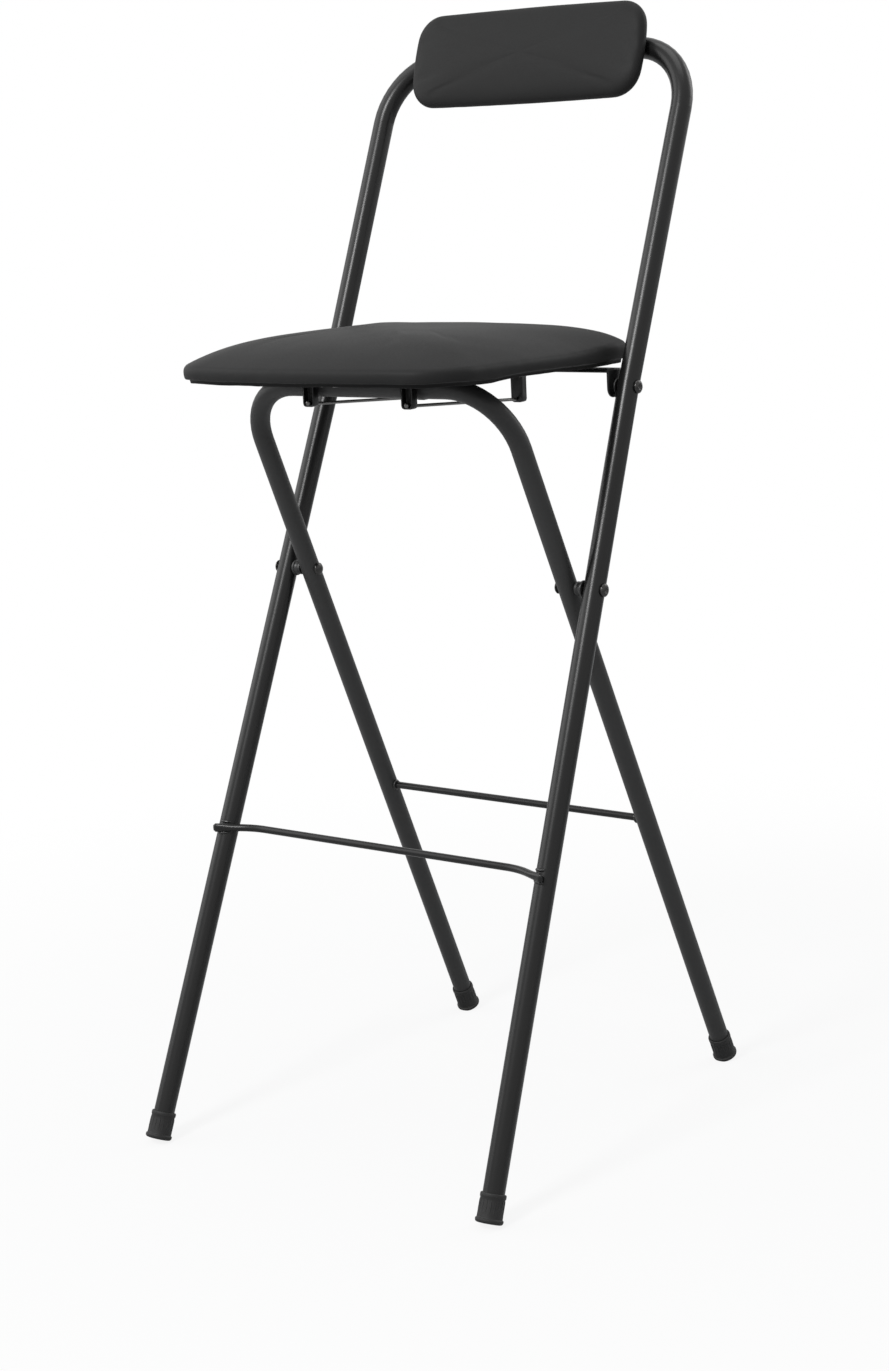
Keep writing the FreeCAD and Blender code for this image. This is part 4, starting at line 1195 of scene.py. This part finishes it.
rearLow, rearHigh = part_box("rear_footrest_rod")
rearCentre = boxCentre("rear_footrest_rod")
rearPath = [Vector((rearLow.x + (rearHigh.x - rearLow.x) * k / 60, rearCentre.y, rearCentre.z))
            for k in range(61)]
rearRod = sweep("rearFootrestRod", rearPath, lambda share: (0.0035, 0.0035), framePaint, 24)
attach(rearRod, "rear_leg_frame")
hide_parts("rear_footrest_rod")
rearBeads = joined("rearRodWelds", [
    ringBead("bead", Vector((side * (rearHigh.x / mm - 0.9), rearCentre.y / mm, rearCentre.z / mm)),
             Vector((side, 0, 0)), 4.0, 1.35, 2.2 + side) for side in (-1, 1)])
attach(rearBeads, "rear_leg_frame")
print("footrest rods and welds made")


postLook = {"plate": 1.8, "edge": 0.45, "corner": 3.0, "cut": 0.29, "deep": 7.5}


def easeEdges(piece, width, bevelOver, sharpOver):      # angles in degrees
    ease = piece.modifiers.new("ease", "BEVEL")
    ease.width = width
    ease.segments = 3
    ease.limit_method = "ANGLE"
    ease.angle_limit = math.radians(bevelOver)
    applied(piece)
    smoothed(piece)
    piece.data.set_sharp_from_angle(angle=math.radians(sharpOver))


# a pressed channel with a flange under the board; its flat face looks at the cross tube
def guidePost(name, node, front, look):
    low, high = (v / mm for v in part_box(node))
    web, flangeEnd = (high.y, low.y) if front else (low.y, high.y)
    far = web + (-1 if front else 1) * look["deep"]
    x0, x1, z0, z1 = low.x, high.x, low.z, high.z
    c, cut = look["corner"], look["corner"] * look["cut"]
    shape = bmesh.new()

    def add(*spots):
        return shape.faces.new([shape.verts.new(Vector(s)) for s in spots])

    corners = [(x0, z1), (x0, z0 + c), (x0 + cut, z0 + cut), (x0 + c, z0),
               (x1 - c, z0), (x1 - cut, z0 + cut), (x1, z0 + c), (x1, z1)]
    add(*[(x, web, z) for x, z in corners])
    for (xa, za), (xb, zb) in zip(corners, corners[1:]):
        add((xa, web, za), (xb, web, zb), (xb, far, zb), (xa, far, za))
    add((x0, far, z1), (x1, far, z1), (x1, flangeEnd, z1), (x0, flangeEnd, z1))
    bmesh.ops.remove_doubles(shape, verts=shape.verts, dist=0.001)
    bmesh.ops.recalc_face_normals(shape, faces=shape.faces)
    mesh = bpy.data.meshes.new(name)
    shape.to_mesh(mesh)
    shape.free()
    mesh.transform(Matrix.Diagonal((mm, mm, mm, 1)))
    mesh.materials.append(bracketPaint)
    post = linked(name, mesh)
    wall = post.modifiers.new("plate", "SOLIDIFY")
    wall.thickness = look["plate"] * mm
    wall.offset = -1.0
    wall.use_even_offset = True
    easeEdges(post, look["edge"] * mm, 35, 40)
    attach(post, "seat")
    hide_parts(node)


for word in ("left", "right"):
    guidePost("frontGuidePost" + word.title(), "front_guide_post_" + word, True, postLook)
    guidePost("rearGuidePost" + word.title(), "rear_guide_post_" + word, False, postLook)


# a CAD plate with its edges eased
def easedCopy(name, node, width, material, body):
    shape = bmesh.new()
    shape.from_mesh(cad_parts[node].data)
    bmesh.ops.remove_doubles(shape, verts=shape.verts, dist=0.000005)
    bmesh.ops.dissolve_limit(shape, angle_limit=math.radians(0.6), verts=shape.verts,
                             edges=shape.edges)
    mesh = bpy.data.meshes.new(name)
    shape.to_mesh(mesh)
    shape.free()
    mesh.materials.clear()
    mesh.materials.append(material)
    for face in mesh.polygons:
        face.material_index = 0
    copy = linked(name, mesh)
    easeEdges(copy, width, 40, 45)
    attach(copy, body)
    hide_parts(node)


easedCopy("seatHingeStrip", "seat_hinge_strip", 0.0005, bracketPaint, "seat")
easedCopy("seatBoard", "seat_board", 0.0010, undersideBoard, "seat")
easedCopy("backrestBoard", "backrest_board", 0.0008, undersideBoard, "back_frame")

wireEnds = []
for side in (-1, 1):                        # peened collars where the wires leave the posts
    low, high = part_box("guide_wire_" + ("left" if side < 0 else "right"))
    for spot, way in ((Vector((side * guideHalf, frontPost[1].y - 0.0076, high.z - 0.0008)), -1),
                      (Vector((side * guideHalf, rearPost[0].y + 0.0076, low.z + 0.0018)), 1)):
        place = Matrix.Translation(spot) @ Matrix.Rotation(math.radians(-90 * way), 4, "X")
        wireEnds.append(lathe("wireEnd", [(-0.6, 0), (-0.6, 2.2), (0.2, 2.5), (1.0, 2.3),
                                          (1.5, 1.6), (1.7, 0)], place, wireSteel, 20))
collars = joined("guideWireEnds", wireEnds)
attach(collars, "seat")

for node, material in (("back_frame_tube", framePaint), ("rear_leg_frame_tube", legPaint),
                       ("guide_wire_left", wireSteel), ("guide_wire_right", wireSteel)):
    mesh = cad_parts[node].data
    mesh.materials.clear()
    mesh.materials.append(material)
print("posts, strip, wires and tubes finished")
